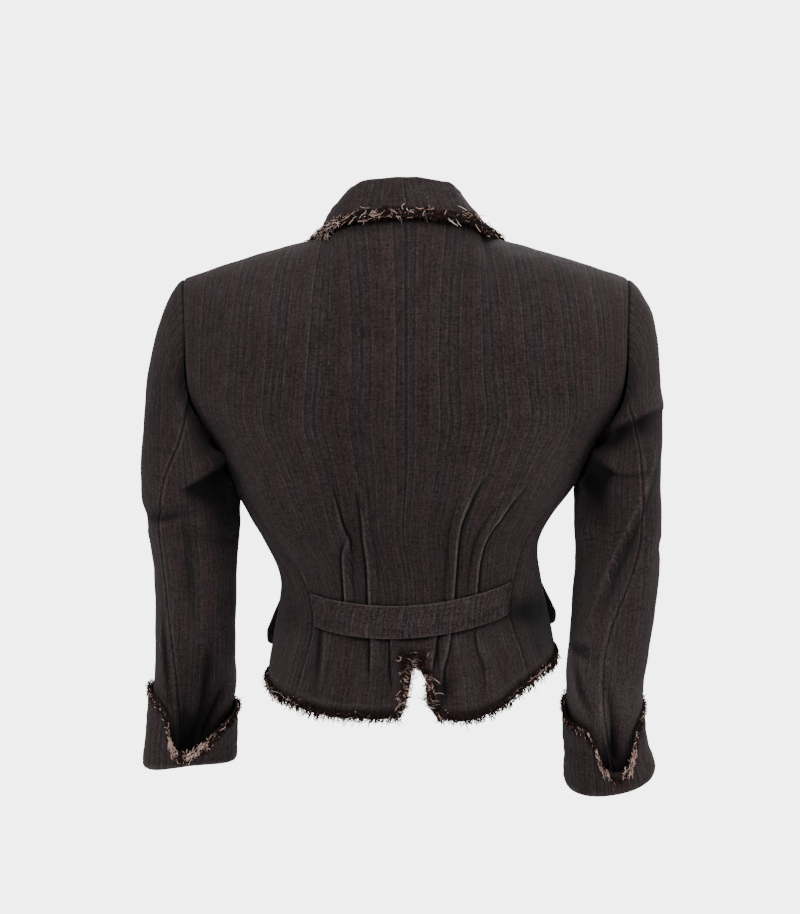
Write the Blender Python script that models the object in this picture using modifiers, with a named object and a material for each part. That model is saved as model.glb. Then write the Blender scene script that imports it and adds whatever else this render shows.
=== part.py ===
"""Cropped denim blazer, modelled as the cloth pieces that a maker cuts and sews.

Metres, +Z up. The wearer faces -Y and their left side is +X. The origin is the middle of the neck, level with
the shoulder seams. Each piece is an open grid of points on a general figure, given a wall by Solidify.
"""

import math

import bmesh
import bpy
import numpy as np
from mathutils import Matrix, Vector

# Driving sizes
WALL = 0.0016
BELT_WALL = 0.0020
SEAM_GAP = 0.0004
CENTRE_GAP = 0.0002
EDGE_SHARE = 0.0022
NARROW_EDGE_SHARE = 0.0060
SLEEVE_EDGE_SHARE = 0.0022
CAP_EDGE_SHARE = 0.0052
CAP_EDGE_ALONG = (0.25, 0.45)
WELD = 0.00001
LINE_POINTS = 60
END_WEIGHT = 0.55

# Neck and shoulder seam
NECK_HALF_WIDTH = 0.066
NECK_BACK_DEPTH = 0.058
NECK_RISE = 0.018
SHOULDER_NECK_Z = 0.004
SHOULDER_TIP_X = 0.200
SHOULDER_TIP_Z = -0.0355
SHOULDER_BOW = 0.0028
NECK_SHARE = 0.34
BLADE_DROP = 0.110
BLADE_SHARE = 0.24
ARMPIT_BACK_DROP = 0.175
ARMPIT_DROP = 0.186
HEM_LEVEL = 0.400
CHEST_MIDDLE_DROP = 0.120

# Half belt, flaps, buttons (their drops and the gaps under them) and front overlap
BELT_TOP_DROP = 0.324
BELT_BOTTOM_DROP = 0.352
BELT_END_RISE = 0.0155
BELT_LIFT = 0.0038
BELT_COLUMNS = 17
BELT_ROWS = 3
FLAP_ANGLES = (100.0, 141.0)
FLAP_TOP_DROP = 0.316
FLAP_DEPTH = 0.043
FLAP_CORNER = 0.32
FLAP_CORNER_POWER = 5
FLAP_COLUMNS = 9
FLAP_ROWS = 4
FLAP_LIFT_TOP = 0.0026
FLAP_LIFT_EDGE = 0.0060
OVERLAP_LIFT = 0.0026
OVERLAP_ANGLES = (148.0, 172.0)
OVERLAP_START = 0.10
BUTTONS = ((0.240, 0.0003), (0.295, 0.0008), (0.350, 0.0005))
BUTTON_RADIUS = 0.0095
BUTTON_THICKNESS = 0.0034
BUTTON_ROUND = 0.0010
BUTTON_SIDES = 20
BUTTON_PATCH_ANGLE = 2.0

# Lapels
LAPEL_LIFT_ROLL = 0.0024
LAPEL_LIFT_MIDDLE = 0.0046
LAPEL_LIFT_EDGE = 0.0034
LAPEL_TOP = (0.113, 0.152)
LAPEL_END = 0.395
LAPEL_COLUMNS = 6

# Collar fold
COLLAR_FOLD_RADIUS = 0.0032
COLLAR_BOW = 0.0030
COLLAR_STAND_SHARE = 0.32
COLLAR_FOLD_SHARE = 0.16
COLLAR_SEAM_LIFT = 0.0017
COLLAR_END_DOWN = 0.095
COLLAR_COLUMNS = 23
COLLAR_ROWS = (0.0, 0.16, 0.32, 0.37, 0.40, 0.43, 0.48, 0.65, 0.82, 1.0)

# Cuffs
CUFF_LIFT_TOP = 0.0028
CUFF_LIFT_BOTTOM = 0.0044
CUFF_ROWS = (0.0, 0.35, 0.70, 1.0)
SLEEVE_END_SHARE = 0.985
SLEEVE_LENGTH = 0.485
SLEEVE_RADIUS = 0.042
FOLD_REACH = 0.75

# Frayed edging: how many locks each edge has and how long they are, then where along its edge the fray runs
LOCKS = {
    "hem": (36, 0.0075),
    "vent": (6, 0.0040),
    "cuff": (36, 0.0085),
    "lapel": (14, 0.0060),
    "front": (18, 0.0060),
    "collar": (46, 0.0095),
}
STRIP_WIDTH = 0.0025
LOCK_LEAN = 0.003
VENT_CORNER = 0.03
VENT_FRAY = (0.925, 0.985)
FRONT_FRAY = (0.42, 0.985)
COLLAR_FRAY = 0.985
CUFF_TOP_SHARE = 0.9
CUFF_FRAY_END = 0.7
CUFF_COLUMNS = LOCKS["cuff"][0] + 1


class Table:
    """Rows of sizes with named columns, read smoothly by the first column."""

    def __init__(self, names, *rows):
        self.columns = dict(zip(names, np.array(rows, float).T))
        self.key = self.columns[names[0]]

    def at(self, name, place):
        return smooth_through(self.key, self.columns[name], place)


def smooth_through(knots, values, place):
    """Cubic through rising knots that never overshoots between two of them."""
    place = np.clip(place, knots[0], knots[-1])
    steps = np.diff(knots)
    slopes = np.diff(values) / steps
    before, after = slopes[:-1], slopes[1:]
    same_way = before * after > 0
    first = 2 * steps[1:] + steps[:-1]
    second = steps[1:] + 2 * steps[:-1]
    safe_before = np.where(same_way, before, 1.0)
    safe_after = np.where(same_way, after, 1.0)
    mean = (first + second) / (first / safe_before + second / safe_after)
    tangents = np.concatenate([slopes[:1], np.where(same_way, mean, 0.0), slopes[-1:]])
    low = np.clip(np.searchsorted(knots, place, side="right") - 1, 0, len(steps) - 1)
    part = (place - knots[low]) / steps[low]
    rest = 1 - part
    return (
        (1 + 2 * part) * rest**2 * values[low]
        + part * rest**2 * steps[low] * tangents[low]
        + part**2 * (3 - 2 * part) * values[low + 1]
        - part**2 * rest * steps[low] * tangents[low + 1]
    )


# Body sections by how far they lie below the shoulder
TORSO = Table(
    ("drop", "half_width", "back", "front", "square", "lean", "tilt"),
    (0.110, 0.2200, 0.108, 0.100, 0.05, 0.0000, 0.000),
    (0.145, 0.2030, 0.110, 0.112, 0.05, 0.0000, 0.000),
    (0.175, 0.1760, 0.109, 0.119, 0.05, 0.0000, 0.000),
    (0.186, 0.1670, 0.108, 0.121, 0.05, 0.0000, 0.000),
    (0.200, 0.1600, 0.107, 0.122, 0.05, 0.0000, 0.000),
    (0.229, 0.1475, 0.103, 0.118, 0.05, 0.0010, 0.010),
    (0.252, 0.1320, 0.098, 0.110, 0.04, 0.0030, 0.030),
    (0.272, 0.1205, 0.093, 0.102, 0.04, 0.0020, 0.045),
    (0.292, 0.1145, 0.089, 0.097, 0.03, -0.0030, 0.055),
    (0.312, 0.1160, 0.087, 0.096, 0.03, -0.0045, 0.060),
    (0.340, 0.1220, 0.091, 0.101, 0.03, -0.0050, 0.066),
    (0.375, 0.1280, 0.104, 0.109, 0.03, -0.0050, 0.085),
    (0.420, 0.1345, 0.118, 0.116, 0.03, -0.0040, 0.104),
)

# Seams as angles round the body, from the centre back
SEAMS = Table(
    ("drop", "side_back", "side", "front_edge"),
    (0.110, 58.0, 123.0, 173.0),
    (0.145, 66.0, 115.0, 177.0),
    (0.175, 77.0, 104.0, 180.5),
    (0.186, 75.0, 96.0, 182.0),
    (0.200, 72.0, 95.0, 183.8),
    (0.229, 65.5, 95.0, 187.0),
    (0.255, 61.5, 95.5, 188.0),
    (0.275, 57.0, 96.0, 188.8),
    (0.292, 52.5, 96.0, 189.0),
    (0.312, 47.0, 96.0, 189.0),
    (0.340, 42.5, 96.0, 188.5),
    (0.375, 46.0, 96.5, 188.0),
    (0.420, 52.0, 97.0, 187.6),
)
HEM = Table(
    ("angle", "drop"),
    (-190.0, 0.3860),
    (-140.0, 0.3780),
    (-95.0, 0.3800),
    (-75.0, 0.3885),
    (-60.0, 0.3950),
    (-52.0, 0.4006),
    (-43.0, 0.4070),
    (-36.0, 0.4144),
    (-29.0, 0.4208),
    (-20.0, 0.4248),
    (-12.0, 0.4222),
    (0.0, 0.4175),
    (9.0, 0.4162),
    (21.0, 0.4141),
    (31.0, 0.4105),
    (39.0, 0.4062),
    (51.0, 0.3998),
    (65.0, 0.3928),
    (95.0, 0.3800),
    (140.0, 0.3780),
    (190.0, 0.3860),
)
VENT = Table(
    ("drop", "left", "right"),
    (0.350, 0.0000, 0.0000),
    (0.360, 0.0000, 0.0004),
    (0.365, 0.0010, 0.0056),
    (0.370, 0.0026, 0.0100),
    (0.376, 0.0042, 0.0126),
    (0.384, 0.0060, 0.0142),
    (0.394, 0.0080, 0.0160),
    (0.404, 0.0100, 0.0178),
    (0.430, 0.0152, 0.0225),
)

# Waist tucks: where they lie across a back, and their ridge by height
TUCK_SHARES = (0.40, 0.63)
TUCK_COLUMNS = (-0.04, -0.02, 0.0, 0.02, 0.04)
BACK_COLUMNS = (0.0, 0.10, 0.20, 0.30, 0.515, 0.78, 0.89, 1.0)
SIDE_COLUMNS = np.linspace(0.0, 1.0, 6)
FRONT_COLUMNS = np.linspace(0.0, 1.0, 12)
SHOULDER_ROWS = 5
BACK_MIDDLE_ANGLE = 25.0
FRONT_MIDDLE_ANGLE = 180.0
TUCKS = Table(
    ("drop", "height", "half_width"),
    (0.212, 0.0000, 0.0140),
    (0.236, 0.0022, 0.0120),
    (0.260, 0.0042, 0.0085),
    (0.272, 0.0030, 0.0050),
    (0.317, 0.0024, 0.0044),
    (0.325, 0.0005, 0.0046),
    (0.351, 0.0005, 0.0046),
    (0.359, 0.0028, 0.0060),
    (0.385, 0.0054, 0.0100),
    (0.430, 0.0066, 0.0130),
)

# Heights that get a row of points: where the body or its tucks turn
BACK_ROW_DROPS = (
    (0.110, 0.136, 0.156, 0.167, 0.175, 0.186, 0.200, 0.220, 0.240, 0.257)
    + (0.270, 0.292, 0.316, 0.324, 0.338, 0.353, 0.360, 0.378, 0.395)
)
SIDE_ROW_DROPS = BACK_ROW_DROPS[4:12] + (0.316, 0.338, 0.360, 0.378)
FRONT_ROW_DROPS = (
    (0.110, 0.136, 0.156, 0.169, 0.178, 0.186, 0.208, 0.230, 0.250, 0.270, 0.283)
    + (0.295, 0.307, 0.320, 0.350, 0.370)
)

# Lapel width as a share of the front, by how far down the lapel it lies
LAPEL = Table(("part", "width"), (0.0, 0.45), (0.30, 0.40), (0.62, 0.27), (0.86, 0.13), (1.0, 0.05))

# Collar stations from the centre back to the front end: its roll and its outer edge
COLLAR = Table(
    ("along", "roll_x", "roll_y", "roll_z", "edge_x", "edge_y", "edge_z"),
    (0.00, 0.0000, 0.0560, 0.0500, 0.0000, 0.0800, 0.0180),
    (0.25, 0.0445, 0.0400, 0.0480, 0.0590, 0.0605, 0.0125),
    (0.50, 0.0550, -0.0040, 0.0320, 0.0805, 0.0040, 0.0110),
    (0.75, 0.0540, -0.0440, 0.0100, 0.0930, -0.0430, -0.0080),
    (1.00, 0.0460, -0.0690, -0.0140, 0.0990, -0.0740, -0.0370),
)

# Sleeve rings: the outer and inner edge seen from behind, then the ring's depth, place and nod
SLEEVE_NAMES = ("outer_x", "outer_drop", "inner_x", "inner_drop", "middle_y", "half_depth", "nod")
SLEEVE_ROWS = {
    "left": (
        (0.2005, 0.037, 0.1665, 0.1855, 0.000, 0.062, 0.00),
        (0.2090, 0.047, 0.1692, 0.1862, 0.000, 0.062, 0.00),
        (0.2190, 0.069, 0.1688, 0.1905, 0.001, 0.061, 0.00),
        (0.2270, 0.099, 0.1658, 0.1975, 0.002, 0.060, 0.00),
        (0.2325, 0.134, 0.1615, 0.2070, 0.004, 0.058, 0.00),
        (0.2350, 0.170, 0.1562, 0.2180, 0.006, 0.056, 0.00),
        (0.2355, 0.205, 0.1520, 0.2330, 0.009, 0.053, 0.00),
        (0.2345, 0.236, 0.1490, 0.2520, 0.011, 0.051, 0.02),
        (0.2310, 0.262, 0.1510, 0.2720, 0.010, 0.048, 0.05),
        (0.2245, 0.292, 0.1525, 0.2960, 0.007, 0.046, 0.08),
        (0.2235, 0.327, 0.1535, 0.3270, 0.002, 0.044, 0.10),
        (0.2250, 0.366, 0.1538, 0.3640, -0.004, 0.042, 0.10),
        (0.2280, 0.404, 0.1545, 0.4020, -0.010, 0.041, 0.10),
        (0.2315, 0.440, 0.1570, 0.4380, -0.015, 0.040, 0.10),
        (0.2335, 0.471, 0.1585, 0.4615, -0.019, 0.040, 0.10),
    ),
    "right": (
        (0.2005, 0.037, 0.1665, 0.1855, 0.000, 0.062, 0.00),
        (0.2090, 0.046, 0.1692, 0.1862, 0.000, 0.062, 0.00),
        (0.2200, 0.066, 0.1688, 0.1905, 0.001, 0.061, 0.00),
        (0.2250, 0.094, 0.1658, 0.1975, 0.002, 0.060, 0.00),
        (0.2272, 0.130, 0.1615, 0.2070, 0.004, 0.058, 0.00),
        (0.2280, 0.170, 0.1562, 0.2180, 0.007, 0.056, 0.00),
        (0.2278, 0.205, 0.1520, 0.2330, 0.010, 0.053, 0.02),
        (0.2278, 0.238, 0.1512, 0.2540, 0.012, 0.050, 0.05),
        (0.2280, 0.272, 0.1532, 0.2780, 0.011, 0.048, 0.10),
        (0.2258, 0.306, 0.1525, 0.3040, 0.006, 0.046, 0.18),
        (0.2212, 0.342, 0.1490, 0.3360, -0.002, 0.044, 0.25),
        (0.2170, 0.380, 0.1468, 0.3760, -0.012, 0.042, 0.30),
        (0.2120, 0.416, 0.1465, 0.4140, -0.022, 0.041, 0.32),
        (0.2155, 0.450, 0.1480, 0.4530, -0.033, 0.040, 0.34),
        (0.2235, 0.476, 0.1500, 0.4880, -0.042, 0.040, 0.36),
    ),
}
SLEEVE_SQUARE = 0.05
UPPER_SLEEVE_COLUMNS = 13
UNDER_SLEEVE_COLUMNS = 13
SLEEVE_ROW_SHARES = np.append(np.linspace(0.0, 0.35, 8), np.linspace(0.40, SLEEVE_END_SHARE, 12))
CAP_SHARE = 0.34
CAP_TURNS = (10.0, 110.0)
CAP_STEP_OUT = 0.0007
CAP_STEP_IN = 0.0019
FRONT_SEAM_TURN = -110.0
ELBOW_SEAM = {
    "left": Table(
        ("along", "turn"),
        (0.0, 108.0),
        (0.15, 109.0),
        (0.285, 93.0),
        (0.36, 80.5),
        (0.41, 69.0),
        (0.464, 60.0),
        (0.55, 53.0),
        (0.65, 50.0),
        (0.73, 56.0),
        (0.87, 74.0),
        (1.0, 78.0),
    ),
    "right": Table(
        ("along", "turn"),
        (0.0, 106.0),
        (0.19, 98.0),
        (0.354, 71.0),
        (0.42, 65.5),
        (0.55, 66.0),
        (0.75, 104.0),
        (1.0, 78.0),
    ),
}

# Large sleeve folds: a straight line over the sleeve from one turn and share to another, ridge or trough
FOLD_NAMES = ("turn_a", "along_a", "turn_b", "along_b", "half_width", "height")
SLEEVE_FOLDS = {
    "left": (
        (178.0, 0.290, 124.0, 0.430, 0.0170, 0.0065),
        (165.0, 0.500, 92.0, 0.525, 0.0110, 0.0050),
        (170.0, 0.550, 70.0, 0.560, 0.0110, -0.0055),
        (150.0, 0.640, 60.0, 0.590, 0.0110, 0.0040),
        (40.0, 0.520, -60.0, 0.560, 0.0130, -0.0035),
    ),
    "right": (
        (52.0, 0.430, 128.0, 0.740, 0.0120, 0.0062),
        (88.0, 0.420, 160.0, 0.640, 0.0140, -0.0050),
        (178.0, 0.290, 126.0, 0.420, 0.0170, 0.0060),
        (165.0, 0.530, 110.0, 0.510, 0.0110, 0.0040),
        (30.0, 0.560, -60.0, 0.600, 0.0130, -0.0035),
    ),
}
CUFF_NOTCH_PLACE = {"left": 0.10, "right": 0.15}

# Height of the cuffs behind, from the inner side of the arm (-1) over the notch to the outer side (1)
CUFF_EDGE = {
    "left": Table(
        ("out", "height"),
        (-1.0, 0.055),
        (-0.90, 0.049),
        (-0.73, 0.044),
        (-0.545, 0.0365),
        (-0.38, 0.0295),
        (-0.24, 0.0250),
        (-0.09, 0.0200),
        (0.10, 0.0178),
        (0.276, 0.0235),
        (0.35, 0.0310),
        (0.41, 0.0410),
        (0.47, 0.0510),
        (0.59, 0.0600),
        (0.79, 0.0670),
        (1.0, 0.0710),
    ),
    "right": Table(
        ("out", "height"),
        (-1.0, 0.0640),
        (-0.93, 0.0600),
        (-0.74, 0.0590),
        (-0.545, 0.0585),
        (-0.43, 0.0550),
        (-0.31, 0.0455),
        (-0.19, 0.0315),
        (-0.06, 0.0235),
        (0.15, 0.0198),
        (0.375, 0.0225),
        (0.5, 0.0290),
        (0.62, 0.0420),
        (0.74, 0.0560),
        (0.86, 0.0640),
        (1.0, 0.0690),
    ),
}

# Colours: linear red, green and blue
DENIM = (0.030, 0.022, 0.022, 1.0)
DENIM_BELT = (0.032, 0.024, 0.024, 1.0)
FRAY = (0.090, 0.060, 0.052, 1.0)
HORN = (0.020, 0.015, 0.013, 1.0)


def clear_scene():
    for old in list(bpy.data.objects):
        bpy.data.objects.remove(old, do_unlink=True)


def finish_of(name, colour, roughness):
    material = bpy.data.materials.new(name)
    material.use_nodes = True
    shader = material.node_tree.nodes["Principled BSDF"]
    shader.inputs["Base Color"].default_value = colour
    shader.inputs["Roughness"].default_value = roughness
    shader.inputs["Metallic"].default_value = 0.0
    return material


def ease(low, high, value):
    share = np.clip((value - low) / (high - low), 0.0, 1.0)
    return share * share * (3 - 2 * share)


def bump(distance):
    """1 on a line, falling smoothly to 0 one half width away."""
    return np.cos(np.minimum(np.abs(distance), 1.0) * math.pi / 2) ** 2


def mixed(a, b, share):
    return a + (b - a) * share


def unit(vectors):
    return vectors / np.maximum(np.linalg.norm(vectors, axis=-1, keepdims=True), 1e-12)


def grid_normals(points, outward):
    """Normals of a grid of points, turned to the side that outward (a grid of directions) points to."""
    normals = unit(np.cross(np.gradient(points, axis=1), np.gradient(points, axis=0)))
    facing = np.sum(normals * outward, axis=-1, keepdims=True)
    return np.where(facing.mean() < 0, -normals, normals)


def grid(columns, rows):
    """Two grids of shares, across and down, from lists of shares."""
    return np.meshgrid(np.asarray(columns, float), np.asarray(rows, float))


def end_heavy(count):
    """Shares from 0 to 1, closer together near both ends."""
    share = np.linspace(0.0, 1.0, count)
    return mixed(share, (1 - np.cos(share * math.pi)) / 2, END_WEIGHT)


def inside_seams(share, edge=EDGE_SHARE):
    return edge + (1 - 2 * edge) * share


# Body surface

def torso(angle, drop):
    """Point on the body at an angle in degrees from the centre back, towards +X, and a drop below the neck.

    The section is an ellipse with its own depth in front and behind, leaned and tilted by height.
    """
    angle, drop = np.broadcast_arrays(np.radians(angle), drop)
    swell = 1 + TORSO.at("square", drop) * np.sin(2 * angle) ** 2
    across = TORSO.at("half_width", drop) * np.sin(angle) * swell
    depth = np.where(np.cos(angle) > 0, TORSO.at("back", drop), TORSO.at("front", drop))
    height = -drop - TORSO.at("tilt", drop) * across
    return np.stack([across + TORSO.at("lean", drop), depth * np.cos(angle) * swell, height], -1)


def away_from_axis(points):
    return points * np.array([1.0, 1.0, 0.0]) + np.array([0.0, 0.0, 1e-4])


def rolled(top, blade, share):
    """Quarter ellipse from a top edge, over the shoulder, down to the blade level."""
    swing = np.sin(share * math.pi / 2)[..., None]
    fall = np.cos(share * math.pi / 2)[..., None]
    roll = np.concatenate([swing**2, swing, 1 - fall], -1)
    return mixed(top, blade, roll)


def shoulder_seam(side, share, y):
    x = mixed(NECK_HALF_WIDTH, SHOULDER_TIP_X, share)
    z = mixed(SHOULDER_NECK_Z, SHOULDER_TIP_Z, share) + SHOULDER_BOW * np.sin(share * math.pi)
    return np.stack([side * x, np.full_like(x, y), z], -1)


def back_top(side, share):
    """Half neckline, then shoulder seam."""
    around = np.minimum(share / NECK_SHARE, 1.0) * math.pi / 2
    seam = shoulder_seam(side, np.clip((share - NECK_SHARE) / (1 - NECK_SHARE), 0.0, 1.0), SEAM_GAP / 2)
    neck = np.stack(
        [
            side * NECK_HALF_WIDTH * np.sin(around),
            NECK_BACK_DEPTH * np.cos(around) + SEAM_GAP / 2,
            mixed(SHOULDER_NECK_Z, NECK_RISE, np.cos(around)),
        ],
        -1,
    )
    return np.where((share < NECK_SHARE)[..., None], neck, seam)


def drop_of(down, hem_angle):
    share = np.clip((down - BLADE_SHARE) / (1 - BLADE_SHARE), 0.0, 1.0)
    return mixed(BLADE_DROP, HEM.at("drop", hem_angle), share)


def down_at(drop, hem_angle):
    """Share down a back or front at a drop below the blades, where its hem lies at an angle."""
    below = (drop - BLADE_DROP) / (HEM.at("drop", hem_angle) - BLADE_DROP)
    return mixed(BLADE_SHARE, 1.0, below)


def back_surface(side, across, down):
    """Back from the centre seam (0) to the armhole and side-back seam (1), from neck and shoulder to hem."""
    drop = drop_of(down, side * across * SEAMS.at("side_back", HEM_LEVEL))
    width = TORSO.at("half_width", drop)
    across = mixed(CENTRE_GAP / width, 1 - EDGE_SHARE, across)
    start = np.degrees(np.arcsin(VENT.at("left" if side > 0 else "right", drop) / width))
    angle = mixed(start, SEAMS.at("side_back", drop), across)
    lower = torso(side * angle, drop)
    upper = rolled(back_top(side, across), lower, np.minimum(down / BLADE_SHARE, 1.0))
    return np.where((down < BLADE_SHARE)[..., None], upper, lower)


def back_relief(side, across, down):
    """Height of the tucks and of the soft flutes that they open into."""
    drop = drop_of(down, side * across * SEAMS.at("side_back", HEM_LEVEL))
    width = TORSO.at("half_width", drop) * np.sin(np.radians(SEAMS.at("side_back", drop)))
    relief = np.zeros_like(drop)
    for share in TUCK_SHARES:
        off = (across - share) * width / TUCKS.at("half_width", drop)
        relief = relief + TUCKS.at("height", drop) * bump(off)
    return np.where(down < BLADE_SHARE, 0.0, relief)


def side_surface(side, across, down):
    """Side body from the side-back seam (0) to the side seam (1), from the armpit to the hem."""
    across = inside_seams(across, NARROW_EDGE_SHARE)
    top = mixed(ARMPIT_BACK_DROP, ARMPIT_DROP, np.sin(across * math.pi / 2))
    hem = HEM.at("drop", side * mixed(SEAMS.at("side_back", HEM_LEVEL), SEAMS.at("side", HEM_LEVEL), across))
    drop = mixed(top, hem, down)
    angle = mixed(SEAMS.at("side_back", drop), SEAMS.at("side", drop), across)
    return torso(side * angle, drop)


def front_angle(across, drop):
    return mixed(SEAMS.at("front_edge", drop), SEAMS.at("side", drop), across)


def front_surface(side, across, down):
    """Front from its edge and roll line (0) to the armhole and side seam (1), from shoulder to hem."""
    across = inside_seams(across)
    hem_angle = front_angle(across, np.full_like(down, HEM_LEVEL))
    drop = drop_of(down, side * hem_angle)
    angle = front_angle(across, drop)
    lower = torso(side * angle, drop)
    top = shoulder_seam(side, across, -SEAM_GAP / 2)
    upper = rolled(top, lower, np.minimum(down / BLADE_SHARE, 1.0))
    points = np.where((down < BLADE_SHARE)[..., None], upper, lower)
    lift = OVERLAP_LIFT * ease(*OVERLAP_ANGLES, angle) * ease(OVERLAP_START, BLADE_SHARE, down) * (side < 0)
    return points + np.array([0.0, -1.0, 0.0]) * lift[..., None]


def lifted(points, distance):
    normals = grid_normals(points, away_from_axis(points))
    return points + normals * np.asarray(distance)[..., None]


def shoulder_out(points):
    """Outward directions on the upper body, where a panel turns over the shoulder."""
    return points - np.array([0.0, 0.0, -CHEST_MIDDLE_DROP])


# Sleeves

def sleeve_table(name):
    rows = SLEEVE_ROWS[name]
    return Table(("along",) + SLEEVE_NAMES, *((i / (len(rows) - 1),) + row for i, row in enumerate(rows)))


def ring_point(table, along, turn):
    """Point of a sleeve ring: turn 0 is its outer edge, 90 its back and 180 its inner edge."""
    turn = np.radians(turn)
    swell = 1 + SLEEVE_SQUARE * np.sin(2 * turn) ** 2
    out, back = np.cos(turn) * swell, np.sin(turn) * swell
    middle_x = (table.at("outer_x", along) + table.at("inner_x", along)) / 2
    middle_z = -(table.at("outer_drop", along) + table.at("inner_drop", along)) / 2
    half_x = (table.at("outer_x", along) - table.at("inner_x", along)) / 2
    half_z = -(table.at("outer_drop", along) - table.at("inner_drop", along)) / 2
    depth = table.at("half_depth", along) * back
    return np.stack(
        [
            middle_x + half_x * out,
            table.at("middle_y", along) + depth,
            middle_z + half_z * out - table.at("nod", along) * depth,
        ],
        -1,
    )


def ring_middle(table, along):
    return (ring_point(table, along, 0 * along) + ring_point(table, along, 0 * along + 180.0)) / 2


def armhole_loop(table):
    """Armhole edge of the left body, as rising turns and the points there."""
    one = np.ones(LINE_POINTS)
    back_end = down_at(ARMPIT_BACK_DROP, SEAMS.at("side_back", HEM_LEVEL))
    front_end = down_at(ARMPIT_DROP, SEAMS.at("side", HEM_LEVEL))
    back = back_surface(1, one, np.linspace(0.0, back_end, LINE_POINTS))
    under = side_surface(1, np.linspace(0.0, 1.0, LINE_POINTS), 0 * one)
    front = front_surface(1, one, np.linspace(front_end, 0.0, LINE_POINTS))
    points = np.concatenate([back, under[2:-2], front])
    outer, inner = ring_point(table, 0.0, 0.0), ring_point(table, 0.0, 180.0)
    middle, axis = (outer + inner) / 2, (outer - inner) / 2
    out = (points - middle) @ axis / (axis @ axis)
    aside = (points[:, 1] - middle[1]) / table.at("half_depth", 0.0)
    turns = np.degrees(np.unwrap(np.arctan2(aside, out)))
    keep = np.concatenate([[True], np.diff(np.maximum.accumulate(turns)) > 1e-6])
    return turns[keep], points[keep]


def sleeve_surface(name, along, turn):
    """Sleeve from the armhole (0) to its end (1), on the left or mirrored to the right."""
    table = sleeve_table(name)
    turns, loop = armhole_loop(table)
    wrapped = np.mod(turn - turns[0], 360.0) + turns[0]
    turns = np.append(turns, turns[0] + 360.0)
    loop = np.concatenate([loop, loop[:1]])
    on_loop = np.stack([np.interp(wrapped, turns, loop[:, i]) for i in range(3)], -1)
    weight = (1 - ease(0.0, CAP_SHARE, along))[..., None]
    first = ring_point(table, 0 * along, turn)
    inward = unit(ring_middle(table, 0 * along) - first)
    under = ease(CAP_TURNS[0], CAP_TURNS[1], np.abs(np.mod(turn + 180.0, 360.0) - 180.0))[..., None]
    parted = np.array([CAP_STEP_OUT, 0.0, 0.0]) + inward * CAP_STEP_IN * under
    points = ring_point(table, along, turn) + weight * (on_loop + parted - first)
    return points * np.array([1.0 if name == "left" else -1.0, 1.0, 1.0])


def sleeve_relief(name, along, turn):
    relief = np.zeros_like(along)
    for row in SLEEVE_FOLDS[name]:
        fold = dict(zip(FOLD_NAMES, row))
        across = np.radians(turn) * SLEEVE_RADIUS
        length = along * SLEEVE_LENGTH
        start = np.array([math.radians(fold["turn_a"]) * SLEEVE_RADIUS, fold["along_a"] * SLEEVE_LENGTH])
        end = np.array([math.radians(fold["turn_b"]) * SLEEVE_RADIUS, fold["along_b"] * SLEEVE_LENGTH])
        run = end - start
        part = ((across - start[0]) * run[0] + (length - start[1]) * run[1]) / (run @ run)
        off = np.hypot(across - start[0] - part * run[0], length - start[1] - part * run[1])
        relief = relief + fold["height"] * bump(off / fold["half_width"]) * bump((part - 0.5) / FOLD_REACH)
    return relief


def sleeve_out(name, points, along):
    """Directions from the middle of each ring out to its points."""
    sign = 1.0 if name == "left" else -1.0
    return unit(points - ring_middle(sleeve_table(name), along) * np.array([sign, 1.0, 1.0]))


def cuff_height(name, turn):
    """Height of a cuff above the sleeve's end: round its notch behind, and plain before."""
    out = np.cos(np.radians(turn))
    edge = CUFF_EDGE[name]
    inner, outer = edge.at("height", np.array([-1.0, 1.0]))
    behind = np.sin(np.radians(turn)) > 0
    return np.where(behind, edge.at("height", out), mixed(inner, outer, (out + 1) / 2))


# Collar

def neckline(along):
    """Neck edge of the body, from the centre back (0) over the shoulder (0.5) to the collar's end (1)."""
    behind = back_top(1, NECK_SHARE * np.minimum(2 * along, 1.0))
    before = front_surface(1, 0 * along, COLLAR_END_DOWN * np.clip(2 * along - 1, 0.0, 1.0))
    return np.where((along < 0.5)[..., None], behind, before)


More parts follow.
